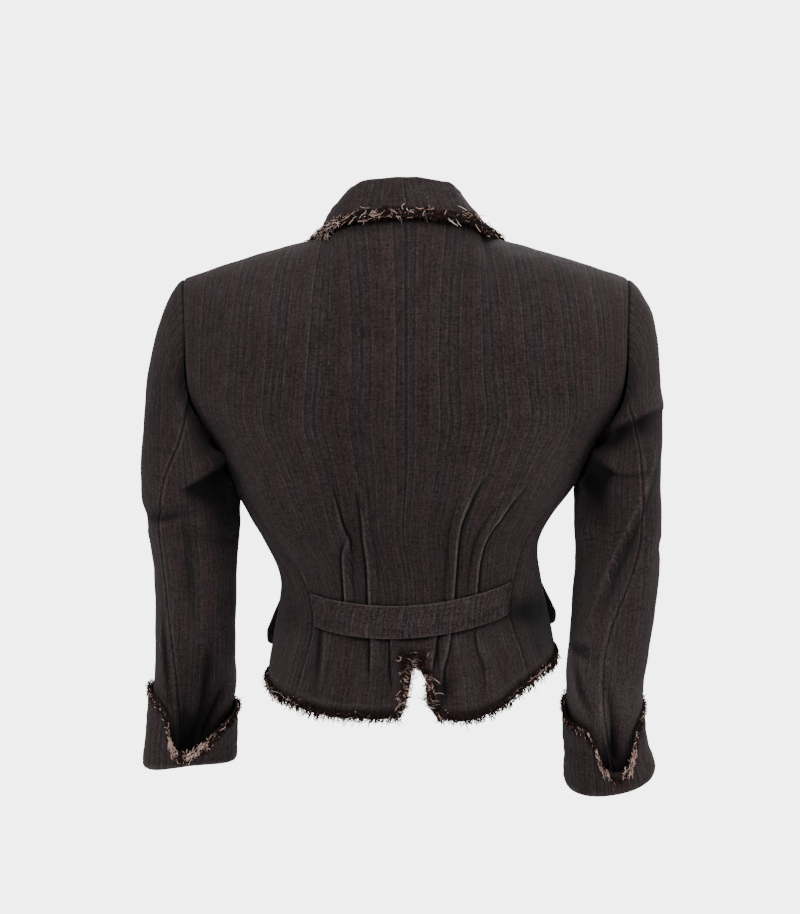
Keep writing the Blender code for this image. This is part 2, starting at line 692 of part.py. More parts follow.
def collar_surface(along, over):
    """Collar from one front end (-1) over the centre back (0) to the other (1), from seam to outer edge."""
    far = np.abs(along)
    sign = np.where(along < 0, -1.0, 1.0)

    def station(part):
        knots = np.concatenate([-COLLAR.key[:0:-1], COLLAR.key])
        found = []
        for axis, mirror in (("x", -1), ("y", 1), ("z", 1)):
            values = COLLAR.columns[f"{part}_{axis}"]
            values = np.concatenate([mirror * values[:0:-1], values])
            found.append(smooth_through(knots, values, far))
        return np.stack(found, -1)

    seam, roll, edge = neckline(far), station("roll"), station("edge")
    seam = seam + unit(shoulder_out(seam)) * COLLAR_SEAM_LIFT
    out = unit(edge - seam - np.array([0, 0, 1.0]) * (edge - seam)[..., 2:])
    rise = roll - (seam + edge) / 2
    up = unit(rise - out * np.sum(rise * out, -1, keepdims=True))
    middle = roll - up * COLLAR_FOLD_RADIUS
    stand = np.clip(over / COLLAR_STAND_SHARE, 0, 1)[..., None]
    turn = np.clip((over - COLLAR_STAND_SHARE) / COLLAR_FOLD_SHARE, 0, 1)[..., None] * math.pi
    fall_start = COLLAR_STAND_SHARE + COLLAR_FOLD_SHARE
    fall = np.clip((over - fall_start) / (1 - fall_start), 0, 1)[..., None]
    inner = middle - out * COLLAR_FOLD_RADIUS
    outer = middle + out * COLLAR_FOLD_RADIUS
    bow = unit(np.cross(unit(edge - outer), np.cross(up, out))) * COLLAR_BOW * 4 * fall * (1 - fall)
    bow = np.where(np.sum(bow * (out + up), -1, keepdims=True) < 0, -bow, bow)
    fold = middle + COLLAR_FOLD_RADIUS * (up * np.sin(turn) - out * np.cos(turn))
    over_fold = np.where(fall > 0, mixed(outer, edge, fall) + bow, fold)
    points = np.where(stand < 1, mixed(seam, inner, stand), over_fold)
    return points * np.stack([sign, np.ones_like(sign), np.ones_like(sign)], -1)


# Solids

def add_object(name, mesh, material, home):
    obj = bpy.data.objects.new(name, mesh)
    mesh.materials.append(material)
    mesh.shade_smooth()
    home.objects.link(obj)
    return obj


def cloth(name, points, material, home, wall=WALL, ring=False):
    """Cloth wall through a grid of points, rows by columns; a ring closes its first column on its last."""
    rows, columns = points.shape[:2]
    sheet = bmesh.new()
    bmesh.ops.create_grid(sheet, x_segments=columns - 1, y_segments=rows - 1, size=0.5)
    for vert in sheet.verts:
        column = round((vert.co.x + 0.5) * (columns - 1))
        row = round((0.5 - vert.co.y) * (rows - 1))
        vert.co = points[row, column]
    if ring:
        bmesh.ops.remove_doubles(sheet, verts=sheet.verts, dist=WELD)
    mesh = bpy.data.meshes.new(name)
    sheet.to_mesh(mesh)
    sheet.free()
    obj = add_object(name, mesh, material, home)
    shell = obj.modifiers.new("wall", "SOLIDIFY")
    shell.thickness = wall
    shell.offset = 0.0
    return obj


def resampled(line, count):
    """A line of points, made even along its length."""
    steps = np.concatenate([[0.0], np.cumsum(np.linalg.norm(np.diff(line[:, :3], axis=0), axis=1))])
    places = np.linspace(0.0, steps[-1], count)
    return np.stack([np.interp(places, steps, line[:, i]) for i in range(line.shape[1])], -1)


def fringe(name, edge, inner, outward, locks, length, material, home, seed):
    """Frayed edging: a narrow strip along a cloth edge, each stretch of it drawn out into one pointed lock.

    edge and inner are lines of points on the cloth, inner a little way in; outward points off its face.
    An edge that comes with one point more than it has locks is taken as it is.
    """
    line = np.concatenate([edge, unit(edge - inner), unit(outward)], 1)
    if len(line) != locks + 1:
        line = resampled(line, locks + 1)
    place, out = line[:, :3], unit(line[:, 3:6])
    face = unit(line[:, 6:9] - out * np.sum(line[:, 6:9] * out, -1, keepdims=True))
    run = unit(np.gradient(place, axis=0))
    near = place + out * SEAM_GAP * 1.5
    far = near + out * STRIP_WIDTH
    corners = [near - face * WALL / 2, near + face * WALL / 2, far + face * WALL / 2, far - face * WALL / 2]
    drawn = np.random.default_rng(seed)
    strip = bmesh.new()
    verts = [[strip.verts.new(corner[i]) for corner in corners] for i in range(locks + 1)]
    for i in range(locks):
        here, there = verts[i], verts[i + 1]
        for side in (0, 1, 3):
            strip.faces.new((here[side], here[(side + 1) % 4], there[(side + 1) % 4], there[side]))
        middle = (far[i] + far[i + 1]) / 2
        reach = length * drawn.uniform(0.7, 1.0)
        lean = run[i] * drawn.uniform(-LOCK_LEAN, LOCK_LEAN) + face[i] * drawn.uniform(-0.2, 1.0) * LOCK_LEAN
        tip = strip.verts.new(middle + out[i] * reach + lean)
        base = (here[2], here[3], there[3], there[2])
        for side in range(4):
            strip.faces.new((base[side], base[(side + 1) % 4], tip))
    strip.faces.new(verts[0])
    strip.faces.new(verts[-1])
    bmesh.ops.recalc_face_normals(strip, faces=strip.faces)
    mesh = bpy.data.meshes.new(name)
    strip.to_mesh(mesh)
    strip.free()
    return add_object(name, mesh, material, home)


def back_columns():
    return sorted(BACK_COLUMNS + tuple(share + step for share in TUCK_SHARES for step in TUCK_COLUMNS))


def back_points(side, across, down):
    points = back_surface(side, across, down)
    normals = grid_normals(points, shoulder_out(points))
    return points + normals * back_relief(side, across, down)[..., None]


def rows_down(drops, hem_angle):
    """Shares down a panel: even over the shoulder, then at the given drops, then the hem."""
    over = np.linspace(0.0, BLADE_SHARE, SHOULDER_ROWS, endpoint=False)
    return np.concatenate([over, down_at(np.array(drops), hem_angle), [1.0]])


def make_body(home, denim):
    for side, name in ((1, "left"), (-1, "right")):
        rows = rows_down(BACK_ROW_DROPS, side * BACK_MIDDLE_ANGLE)
        cloth(f"back_{name}", back_points(side, *grid(back_columns(), rows)), denim, home)
        hem = HEM.at("drop", side * SEAMS.at("side_back", HEM_LEVEL))
        rows = np.append((np.array(SIDE_ROW_DROPS) - ARMPIT_BACK_DROP) / (hem - ARMPIT_BACK_DROP), 1.0)
        cloth(f"side_{name}", side_surface(side, *grid(SIDE_COLUMNS, rows)), denim, home)
        rows = rows_down(FRONT_ROW_DROPS, side * FRONT_MIDDLE_ANGLE)
        cloth(f"front_{name}", front_surface(side, *grid(FRONT_COLUMNS, rows)), denim, home)


def lapel_points(side, across, part):
    """Lapel from the roll line (0) to its outer edge (1), from the slanted notch edge to where it closes."""
    down = mixed(mixed(*LAPEL_TOP, across), LAPEL_END, part)
    points = front_surface(side, across * LAPEL.at("width", part), down)
    lift = mixed(LAPEL_LIFT_ROLL, LAPEL_LIFT_EDGE, across) + 4 * across * (1 - across) * (
        LAPEL_LIFT_MIDDLE - (LAPEL_LIFT_ROLL + LAPEL_LIFT_EDGE) / 2
    )
    normals = grid_normals(points, shoulder_out(points))
    return points + normals * lift[..., None]


def lapel_rows():
    return np.linspace(0.0, 1.0, LOCKS["lapel"][0] + 1)


def make_lapels(home, denim):
    for side, name in ((1, "left"), (-1, "right")):
        across, part = grid(np.linspace(0, 1, LAPEL_COLUMNS), lapel_rows())
        cloth(f"lapel_{name}", lapel_points(side, across, part), denim, home)


def belt_points(across, down):
    drop = mixed(BELT_TOP_DROP, BELT_BOTTOM_DROP, down) - BELT_END_RISE * across**2
    points = torso(across * SEAMS.at("side_back", drop), drop)
    return lifted(points, np.full_like(drop, BELT_LIFT))


def flap_points(side, across, down):
    """Pocket flap with rounded lower corners, standing off the front along its lower edge."""
    corner = 1 - FLAP_CORNER * np.abs(2 * across - 1) ** FLAP_CORNER_POWER
    drop = FLAP_TOP_DROP + FLAP_DEPTH * corner * down
    points = torso(side * mixed(*FLAP_ANGLES, across), drop)
    return lifted(points, mixed(FLAP_LIFT_TOP, FLAP_LIFT_EDGE, down))


def make_trim(home, denim, belt, horn):
    across, down = grid(np.linspace(-1, 1, BELT_COLUMNS), np.linspace(0, 1, BELT_ROWS))
    cloth("half_belt", belt_points(across, down), belt, home, BELT_WALL)
    for side, name in ((1, "left"), (-1, "right")):
        across, down = grid(np.linspace(0, 1, FLAP_COLUMNS), np.linspace(0, 1, FLAP_ROWS))
        cloth(f"flap_{name}", flap_points(side, across, down), denim, home)
    for number, (drop, gap) in enumerate(BUTTONS, 1):
        steps = np.array([-1.0, 0.0, 1.0])
        patch = torso(*grid(180.0 + steps * BUTTON_PATCH_ANGLE, drop + steps * BUTTON_RADIUS / 2))
        normal = grid_normals(patch, away_from_axis(patch))[1, 1]
        lift = OVERLAP_LIFT + WALL / 2 + gap + BUTTON_THICKNESS / 2
        disc = bmesh.new()
        bmesh.ops.create_cone(
            disc,
            cap_ends=True,
            segments=BUTTON_SIDES,
            radius1=BUTTON_RADIUS,
            radius2=BUTTON_RADIUS,
            depth=BUTTON_THICKNESS,
        )
        mesh = bpy.data.meshes.new(f"button_{number}")
        disc.to_mesh(mesh)
        disc.free()
        button = add_object(f"button_{number}", mesh, horn, home)
        turned = Vector(normal).to_track_quat("Z", "Y").to_matrix().to_4x4()
        button.matrix_world = Matrix.Translation(Vector(patch[1, 1] + normal * lift)) @ turned
        rounded = button.modifiers.new("rounded", "BEVEL")
        rounded.width = BUTTON_ROUND
        rounded.segments = 2


def sleeve_points(name, along, turn):
    points = sleeve_surface(name, along, turn)
    return points + sleeve_out(name, points, along) * sleeve_relief(name, along, turn)[..., None]


def sleeve_panel(name, across, along, start, end):
    """Part of a sleeve between two seams, each given as a turn for every point along it."""
    edge = mixed(CAP_EDGE_SHARE, SLEEVE_EDGE_SHARE, ease(*CAP_EDGE_ALONG, along))
    return sleeve_points(name, along, mixed(start, end, inside_seams(across, edge)))


def cuff_points(name, turn, up):
    along = 1.0 - up * cuff_height(name, turn) / SLEEVE_LENGTH
    points = sleeve_surface(name, along, turn)
    normals = grid_normals(points, sleeve_out(name, points, along))
    return points + normals * mixed(CUFF_LIFT_BOTTOM, CUFF_LIFT_TOP, up)[..., None]


def cuff_turns(name, count):
    return math.degrees(math.acos(CUFF_NOTCH_PLACE[name])) + np.linspace(0.0, 360.0, count)


def make_sleeves(home, denim):
    for name in ("left", "right"):
        across, along = grid(end_heavy(UPPER_SLEEVE_COLUMNS), SLEEVE_ROW_SHARES)
        elbow = ELBOW_SEAM[name].at("turn", along)
        front = np.full_like(along, FRONT_SEAM_TURN)
        cloth(f"upper_sleeve_{name}", sleeve_panel(name, across, along, front, elbow), denim, home)
        across, along = grid(end_heavy(UNDER_SLEEVE_COLUMNS), SLEEVE_ROW_SHARES)
        elbow = ELBOW_SEAM[name].at("turn", along)
        front = np.full_like(along, FRONT_SEAM_TURN + 360.0)
        cloth(f"under_sleeve_{name}", sleeve_panel(name, across, along, elbow, front), denim, home)
        turn, up = grid(cuff_turns(name, CUFF_COLUMNS), CUFF_ROWS)
        cloth(f"cuff_{name}", cuff_points(name, turn, up), denim, home, ring=True)


def make_collar(home, denim):
    along, over = grid(np.linspace(-1, 1, COLLAR_COLUMNS), COLLAR_ROWS)
    cloth("collar", collar_surface(along, over), denim, home)


def hem_lines(side):
    """The hem of one half, from the vent round to the front edge, and a line a little above it."""
    many = np.linspace(0.0, 1.0, LINE_POINTS)
    from_vent = np.linspace(VENT_CORNER, 1.0, LINE_POINTS)
    hem, above = [], []
    for surface, shares in ((back_points, from_vent), (side_surface, many), (front_surface, many[::-1])):
        rows = surface(side, *grid(shares, (0.97, 1.0)))
        above.append(rows[0])
        hem.append(rows[1])
    return np.concatenate(hem), np.concatenate(above)


def make_fringes(home, fray):
    def edging(kind, name, edge, inner, outward, draw):
        fringe(f"fringe_{kind}_{name}".rstrip("_"), edge, inner, outward, *LOCKS[kind], fray, home, draw)

    for side, name in ((1, "left"), (-1, "right")):
        hem, above = hem_lines(side)
        edging("hem", name, hem, above, away_from_axis(hem), 11 + side)

        rows = back_points(side, *grid((0.0, 0.06), np.linspace(*VENT_FRAY, LINE_POINTS)))
        edging("vent", name, rows[:, 0], rows[:, 1], away_from_axis(rows[:, 0]), 21 + side)

        rows = cuff_points(name, *grid(cuff_turns(name, CUFF_COLUMNS), (0.93, 1.0)))
        rows[:, -1] = mixed(rows[:, -2], rows[:, -1], CUFF_FRAY_END)
        out = sleeve_out(name, rows[1], np.full(len(rows[1]), CUFF_TOP_SHARE))
        edging("cuff", name, rows[1], rows[0], out, 31 + side)

        rows = lapel_points(side, *grid((0.9, 1.0), lapel_rows()))
        edging("lapel", name, rows[:, 1], rows[:, 0], shoulder_out(rows[:, 1]), 41 + side)

    rows = front_surface(-1, *grid((0.0, 0.05), np.linspace(*FRONT_FRAY, LINE_POINTS)))
    edging("front", "right", rows[:, 0], rows[:, 1], away_from_axis(rows[:, 0]), 51)

    rows = collar_surface(*grid(np.linspace(-COLLAR_FRAY, COLLAR_FRAY, 2 * LINE_POINTS), (0.94, 1.0)))
    out = np.cross(np.gradient(rows[1], axis=0), rows[1] - rows[0])
    edging("collar", "", rows[1], rows[0], np.where(out[:, 2:] < 0, -out, out), 61)


def main():
    clear_scene()
    home = bpy.data.collections.new("denim_blazer")
    bpy.context.scene.collection.children.link(home)
    denim = finish_of("striped denim", DENIM, 0.85)
    belt = finish_of("striped denim, belt", DENIM_BELT, 0.85)
    fray = finish_of("frayed yarn", FRAY, 0.9)
    horn = finish_of("dark horn", HORN, 0.35)
    make_body(home, denim)
    make_lapels(home, denim)
    make_trim(home, denim, belt, horn)
    make_sleeves(home, denim)
    make_collar(home, denim)
    make_fringes(home, fray)


main()
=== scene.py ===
"""Looks of the cropped denim blazer: cloth pieces as thin shells, their fray and stitches, and the buttons.

Metres, +Z up. The wearer faces -Y and their left side is +X. The forms are the part's own, on fine grids.
"""

import math
from typing import NamedTuple

import bpy
import numpy as np
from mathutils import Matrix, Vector


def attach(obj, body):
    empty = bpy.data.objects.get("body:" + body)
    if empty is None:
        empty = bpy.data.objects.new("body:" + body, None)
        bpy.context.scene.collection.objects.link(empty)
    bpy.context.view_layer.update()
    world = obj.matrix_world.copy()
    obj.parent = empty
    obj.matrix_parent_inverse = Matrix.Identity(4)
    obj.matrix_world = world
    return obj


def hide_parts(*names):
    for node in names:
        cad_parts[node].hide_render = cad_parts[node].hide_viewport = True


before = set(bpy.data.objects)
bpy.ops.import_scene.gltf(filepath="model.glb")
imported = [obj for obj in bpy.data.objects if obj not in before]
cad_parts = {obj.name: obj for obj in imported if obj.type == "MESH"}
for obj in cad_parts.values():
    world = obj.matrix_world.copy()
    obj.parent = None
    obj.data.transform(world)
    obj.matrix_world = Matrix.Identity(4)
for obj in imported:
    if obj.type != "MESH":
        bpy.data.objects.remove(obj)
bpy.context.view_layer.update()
SIDES = ((1, "left"), (-1, "right"))

# Body: places below the neck point, shares of a panel and gaps
WALL = 0.0016
SEAM_GAP = 0.0004
CENTRE_GAP = -0.0004
LINE_POINTS = 60
NECK_HALF_WIDTH = 0.066
NECK_BACK_DEPTH = 0.058
NECK_RISE = 0.018
SHOULDER_NECK_Z = 0.004
SHOULDER_TIP_X = 0.2
SHOULDER_TIP_Z = -0.0355
SHOULDER_BOW = 0.0028
NECK_SHARE = 0.34
BLADE_DROP = 0.11
BLADE_SHARE = 0.24
ARMPIT_BACK_DROP = 0.175
ARMPIT_DROP = 0.186
HEM_LEVEL = 0.4
CHEST_MIDDLE_DROP = 0.12
VENT_CORNER = 0.03
VENT_LEAST = 0.02
VENT_RIM = 0.02

# Belt, flaps, overlap and buttons
BELT_WALL = 0.002
BELT_TOP_DROP = 0.324
BELT_BOTTOM_DROP = 0.352
BELT_DEPTH = BELT_BOTTOM_DROP - BELT_TOP_DROP
BELT_END_RISE = 0.0155
BELT_LIFT = 0.0038
FLAP_ANGLES = (100.0, 141.0)
FLAP_TOP_DROP = 0.316
FLAP_DEPTH = 0.043
FLAP_CORNER = 0.32
FLAP_CORNER_POWER = 5
FLAP_LIFT_TOP = 0.0026
FLAP_LIFT_EDGE = 0.0095
OVERLAP_LIFT = 0.0026
OVERLAP_ANGLES = (148.0, 172.0)
OVERLAP_START = 0.1
BUTTONS = ((0.24, 0.0003), (0.295, 0.0008), (0.35, 0.0005))
BUTTON_RADIUS = 0.0095
BUTTON_THICKNESS = 0.0034
BUTTON_PATCH_ANGLE = 2.0

# Lapels and collar
LAPEL_LIFT_ROLL = 0.0024
LAPEL_LIFT_MIDDLE = 0.0046
LAPEL_LIFT_EDGE = 0.0034
LAPEL_TOP = (0.113, 0.152)
LAPEL_END = 0.395
COLLAR_FOLD_RADIUS = 0.0032
COLLAR_BOW = 0.0004
COLLAR_STAND_SHARE = 0.32
COLLAR_FOLD_SHARE = 0.16
COLLAR_SEAM_LIFT = -0.0006
COLLAR_END_DOWN = 0.095

# Sleeves and cuffs
SLEEVE_END_SHARE = 0.999
SLEEVE_LENGTH = 0.485
SLEEVE_RADIUS = 0.042
SLEEVE_SQUARE = 0.05
FOLD_REACH = 0.75
CAP_SHARE = 0.34
CAP_TURNS = (10.0, 110.0)
CAP_STEP_OUT = 0.0007
CAP_STEP_IN = 0.0019
SLEEVE_KINDS = ("upper_sleeve", "under_sleeve")
FRONT_SEAM_TURN = -110.0
CUFF_LIFT_TOP = 0.0028
CUFF_LIFT_BOTTOM = 0.0044
CUFF_NOTCH_PLACE = {"left": 0.1, "right": 0.15}


class Table:
    """Rows of sizes with named columns, read smoothly by the first column."""

    def __init__(self, names, *rows):
        self.columns = dict(zip(names, np.array(rows, float).T))
        self.key = self.columns[names[0]]

    def at(self, name, place):
        return smooth_through(self.key, self.columns[name], place)


class Edge(NamedTuple):
    """What an edge does to the cloth beside it: a lift, a rubbed line and darkness that is painted shade,
    each an amount, a distance from it and a half width.
    """

    lift: tuple = (0.0, 0.0, WALL)
    rub_and_painted_light: tuple = (0.0, 0.0, WALL)
    dark: tuple = (0.0, 0.0, WALL)

    def height(self, distance):
        amount, place, half_width = self.lift
        return amount * near(distance, place, half_width)

    def tone_wear_and_painted_shading(self, distance):
        # A rubbed line, less the painted shade in the groove or lap
        rubbed, darkened = (part[0] * near(distance, *part[1:]) for part in (self.rub_and_painted_light, self.dark))
        return rubbed - darkened


class Ends(NamedTuple):
    """Loose ends of yarn on an edge: how many to a millimetre, sizes, how many are pale and how pale."""

    density: float
    length: float
    inset: float
    spread: float
    curl: float
    thin: float
    thick: float
    paleness: float
    palest: float


class Freed(NamedTuple):
    """Freed yarns that lie along an edge: how many to a millimetre, lengths and height of waves."""

    density: float
    shortest: float
    longest: float
    wave: float


class Cloth(NamedTuple):
    """A made piece of cloth: its grid of points, the ways out of its face and the piece in the scene."""

    points: np.ndarray
    outward: np.ndarray
    piece: bpy.types.Object


def smooth_through(knots, values, place):
    """Cubic through rising knots that never overshoots between two of them."""
    place = np.clip(place, knots[0], knots[-1])
    steps = np.diff(knots)
    slopes = np.diff(values) / steps
    before, after = slopes[:-1], slopes[1:]
    same_way = before * after > 0
    first = 2 * steps[1:] + steps[:-1]
    second = steps[1:] + 2 * steps[:-1]
    safe_before = np.where(same_way, before, 1.0)
    safe_after = np.where(same_way, after, 1.0)
    mean = (first + second) / (first / safe_before + second / safe_after)
    tangents = np.concatenate([slopes[:1], np.where(same_way, mean, 0.0), slopes[-1:]])
    low = np.clip(np.searchsorted(knots, place, side="right") - 1, 0, len(steps) - 1)
    part = (place - knots[low]) / steps[low]
    rest = 1 - part
    return (
        (1 + 2 * part) * rest**2 * values[low]
        + part * rest**2 * steps[low] * tangents[low]
        + part**2 * (3 - 2 * part) * values[low + 1]
        - part**2 * rest * steps[low] * tangents[low + 1]
    )


# Forms, from the part's own tables
TORSO = Table(
    ("drop", "half_width", "back", "front", "square", "lean", "tilt"),
    (0.11, 0.22, 0.108, 0.1, 0.05, 0, 0),
    (0.145, 0.203, 0.11, 0.112, 0.05, 0, 0),
    (0.175, 0.176, 0.109, 0.119, 0.05, 0, 0),
    (0.186, 0.167, 0.108, 0.121, 0.05, 0, 0),
    (0.2, 0.16, 0.107, 0.122, 0.05, 0, 0),
    (0.229, 0.1475, 0.103, 0.118, 0.05, 0.001, 0.01),
    (0.252, 0.132, 0.098, 0.11, 0.04, 0.003, 0.03),
    (0.272, 0.1205, 0.093, 0.102, 0.04, 0.002, 0.045),
    (0.292, 0.1145, 0.089, 0.097, 0.03, -0.003, 0.055),
    (0.312, 0.116, 0.087, 0.096, 0.03, -0.0045, 0.06),
    (0.34, 0.122, 0.091, 0.101, 0.03, -0.005, 0.066),
    (0.375, 0.128, 0.104, 0.109, 0.03, -0.005, 0.085),
    (0.42, 0.1345, 0.118, 0.116, 0.03, -0.004, 0.104),
)
SEAMS = Table(
    ("drop", "side_back", "side", "front_edge"),
    (0.11, 58, 123, 173), (0.145, 66, 115, 177), (0.175, 77, 104, 180.5), (0.186, 75, 96, 182),
    (0.2, 72, 95, 183.8), (0.229, 65.5, 95, 187), (0.255, 61.5, 95.5, 188), (0.275, 57, 96, 188.8),
    (0.292, 52.5, 96, 189), (0.312, 47, 96, 189), (0.34, 42.5, 96, 188.5), (0.375, 46, 96.5, 188),
    (0.42, 52, 97, 187.6),
)
HEM = Table(
    ("angle", "drop"),
    (-190, 0.386), (-140, 0.378), (-95, 0.38), (-75, 0.3885), (-60, 0.395), (-52, 0.4006), (-43, 0.407),
    (-36, 0.4144), (-29, 0.4208), (-20, 0.4248), (-12, 0.4222), (0, 0.4175), (9, 0.4162), (21, 0.4141),
    (31, 0.4105), (39, 0.4062), (51, 0.3998), (65, 0.3928), (95, 0.38), (140, 0.378), (190, 0.386),
)
VENT = Table(
    ("drop", "left", "right"),
    (0.35, 0, 0), (0.374, 0, 0.0004), (0.3765, 0, 0.0048), (0.38, 0.0004, 0.0088), (0.385, 0.001, 0.0114),
    (0.392, 0.002, 0.0122), (0.399, 0.0032, 0.0125), (0.405, 0.0046, 0.013), (0.412, 0.0072, 0.017),
    (0.42, 0.0106, 0.0222), (0.43, 0.015, 0.0285),
)
TUCK_SHARES = (0.4, 0.63)
TUCKS = Table(
    ("drop", "height", "half_width"),
    (0.212, 0, 0.014), (0.236, 0.0022, 0.012), (0.26, 0.0042, 0.0085), (0.272, 0.003, 0.005),
    (0.317, 0.0024, 0.0044), (0.325, 0.0005, 0.0046), (0.351, 0.0005, 0.0046), (0.359, 0.0028, 0.006),
    (0.385, 0.0054, 0.01), (0.43, 0.0066, 0.013),
)
LAPEL = Table(("part", "width"), (0, 0.45), (0.3, 0.4), (0.62, 0.27), (0.86, 0.13), (1, 0.05))
COLLAR = Table(
    ("along", "roll_x", "roll_y", "roll_z", "edge_x", "edge_y", "edge_z"),
    (0, 0, 0.056, 0.05, 0, 0.0815, 0.014),
    (0.25, 0.0385, 0.042, 0.0466, 0.059, 0.0605, 0.0088),
    (0.375, 0.0477, 0.0217, 0.0408, 0.0712, 0.034, 0.003),
    (0.5, 0.0525, -0.004, 0.032, 0.0815, 0.004, 0.002),
    (0.75, 0.054, -0.044, 0.01, 0.093, -0.043, -0.0105),
    (1, 0.046, -0.069, -0.014, 0.099, -0.074, -0.037),
)
SLEEVE_NAMES = ("outer_x", "outer_drop", "inner_x", "inner_drop", "middle_y", "half_depth", "nod")
SLEEVE_ROWS = {
    "left": (
        (0.2005, 0.037, 0.1665, 0.1855, 0, 0.062, 0),
        (0.209, 0.047, 0.1692, 0.1862, 0, 0.062, 0),
        (0.219, 0.069, 0.1688, 0.1905, 0.001, 0.061, 0),
        (0.227, 0.099, 0.1658, 0.1975, 0.002, 0.06, 0),
        (0.2325, 0.134, 0.1615, 0.207, 0.004, 0.058, 0),
        (0.235, 0.17, 0.1562, 0.218, 0.006, 0.056, 0),
        (0.2355, 0.205, 0.152, 0.233, 0.009, 0.053, 0),
        (0.2345, 0.236, 0.149, 0.252, 0.011, 0.051, 0.02),
        (0.231, 0.262, 0.151, 0.272, 0.01, 0.048, 0.05),
        (0.2245, 0.292, 0.1525, 0.296, 0.007, 0.046, 0.08),
        (0.2235, 0.327, 0.1535, 0.327, 0.002, 0.044, 0.1),
        (0.225, 0.366, 0.1538, 0.364, -0.004, 0.042, 0.1),
        (0.228, 0.404, 0.1545, 0.402, -0.01, 0.041, 0.1),
        (0.2315, 0.44, 0.157, 0.438, -0.015, 0.04, 0.1),
        (0.2335, 0.471, 0.1585, 0.4655, -0.019, 0.04, 0.1),
    ),
    "right": (
        (0.2005, 0.037, 0.1665, 0.1855, 0, 0.062, 0),
        (0.209, 0.046, 0.1692, 0.1862, 0, 0.062, 0),
        (0.22, 0.066, 0.1688, 0.1905, 0.001, 0.061, 0),
        (0.225, 0.094, 0.1658, 0.1975, 0.002, 0.06, 0),
        (0.2272, 0.13, 0.1615, 0.207, 0.004, 0.058, 0),
        (0.228, 0.17, 0.1562, 0.218, 0.007, 0.056, 0),
        (0.2278, 0.205, 0.152, 0.233, 0.01, 0.053, 0.02),
        (0.2278, 0.238, 0.1512, 0.254, 0.012, 0.05, 0.05),
        (0.228, 0.272, 0.1532, 0.278, 0.011, 0.048, 0.1),
        (0.2258, 0.306, 0.1525, 0.304, 0.006, 0.046, 0.18),
        (0.2212, 0.342, 0.149, 0.336, -0.002, 0.044, 0.25),
        (0.217, 0.38, 0.1468, 0.376, -0.012, 0.042, 0.3),
        (0.212, 0.416, 0.1465, 0.414, -0.022, 0.041, 0.32),
        (0.2155, 0.45, 0.148, 0.453, -0.033, 0.04, 0.34),
        (0.2235, 0.476, 0.15, 0.488, -0.042, 0.04, 0.36),
    ),
}
ELBOW_SEAM = {
    "left": Table(
        ("along", "turn"),
        (0, 108), (0.15, 109), (0.285, 93), (0.36, 80.5), (0.41, 69), (0.464, 60), (0.55, 53), (0.65, 50),
        (0.73, 56), (0.87, 74), (1, 78),
    ),
    "right": Table(
        ("along", "turn"),
        (0, 106), (0.19, 98), (0.354, 71), (0.42, 65.5), (0.55, 66), (0.75, 104), (1, 78),
    ),
}
# Large folds of the sleeves: turn and share along at each end, then half width and height
SLEEVE_FOLDS = {
    "left": (
        (178, 0.29, 124, 0.43, 0.017, 0.0065),
        (165, 0.5, 92, 0.525, 0.011, 0.005),
        (170, 0.55, 70, 0.56, 0.011, -0.0055),
        (150, 0.64, 60, 0.59, 0.011, 0.004),
        (40, 0.52, -60, 0.56, 0.013, -0.0035),
    ),
    "right": (
        (52, 0.43, 128, 0.74, 0.012, 0.0062),
        (88, 0.42, 160, 0.64, 0.014, -0.005),
        (178, 0.29, 126, 0.42, 0.017, 0.006),
        (165, 0.53, 110, 0.51, 0.011, 0.004),
        (30, 0.56, -60, 0.6, 0.013, -0.0035),
    ),
}
CUFF_EDGE = {
    "left": Table(
        ("out", "height"),
        (-1, 0.055), (-0.9, 0.049), (-0.73, 0.044), (-0.545, 0.0365), (-0.38, 0.0295), (-0.24, 0.025),
        (-0.09, 0.02), (0.1, 0.0178), (0.276, 0.0235), (0.35, 0.031), (0.41, 0.041), (0.47, 0.051),
        (0.59, 0.06), (0.79, 0.067), (1, 0.071),
    ),
    "right": Table(
        ("out", "height"),
        (-1, 0.064), (-0.93, 0.06), (-0.74, 0.059), (-0.545, 0.0585), (-0.43, 0.055), (-0.31, 0.0455),
        (-0.19, 0.0315), (-0.06, 0.0235), (0.15, 0.0198), (0.375, 0.0225), (0.5, 0.029), (0.62, 0.042),
        (0.74, 0.056), (0.86, 0.064), (1, 0.069),
    ),
}


def ease(low, high, value):
    share = np.clip((value - low) / (high - low), 0.0, 1.0)
    return share * share * (3 - 2 * share)


def bump(distance):
    """1 on a line, falling smoothly to 0 one half width away."""
    return np.cos(np.minimum(np.abs(distance), 1.0) * math.pi / 2) ** 2


def near(value, place, half_width):
    """1 at a place, falling smoothly to 0 one half width away."""
    return bump((value - place) / half_width)


def mixed(a, b, share):
    return a + (b - a) * share


def unit(vectors):
    return vectors / np.maximum(np.linalg.norm(vectors, axis=-1, keepdims=True), 1e-12)


def grid_normals(points, outward):
    """Normals of a grid of points, turned to the side that outward (a grid of directions) points to."""
    normals = unit(np.cross(np.gradient(points, axis=1), np.gradient(points, axis=0)))
    facing = np.sum(normals * outward, axis=-1, keepdims=True)
    return np.where(facing.mean() < 0, -normals, normals)


def grid(columns, rows):
    """Two grids of shares, across and down, from lists of shares."""
    return np.meshgrid(np.asarray(columns, float), np.asarray(rows, float))


def torso(angle, drop):
    """Point on the body at an angle in degrees from the centre back, towards +X, and a drop below the neck.

    The section is an ellipse with its own depth in front and behind, leaned and tilted by height.
    """
    angle, drop = np.broadcast_arrays(np.radians(angle), drop)
    swell = 1 + TORSO.at("square", drop) * np.sin(2 * angle) ** 2
    across = TORSO.at("half_width", drop) * np.sin(angle) * swell
    depth = np.where(np.cos(angle) > 0, TORSO.at("back", drop), TORSO.at("front", drop))
    height = -drop - TORSO.at("tilt", drop) * across
    return np.stack([across + TORSO.at("lean", drop), depth * np.cos(angle) * swell, height], -1)


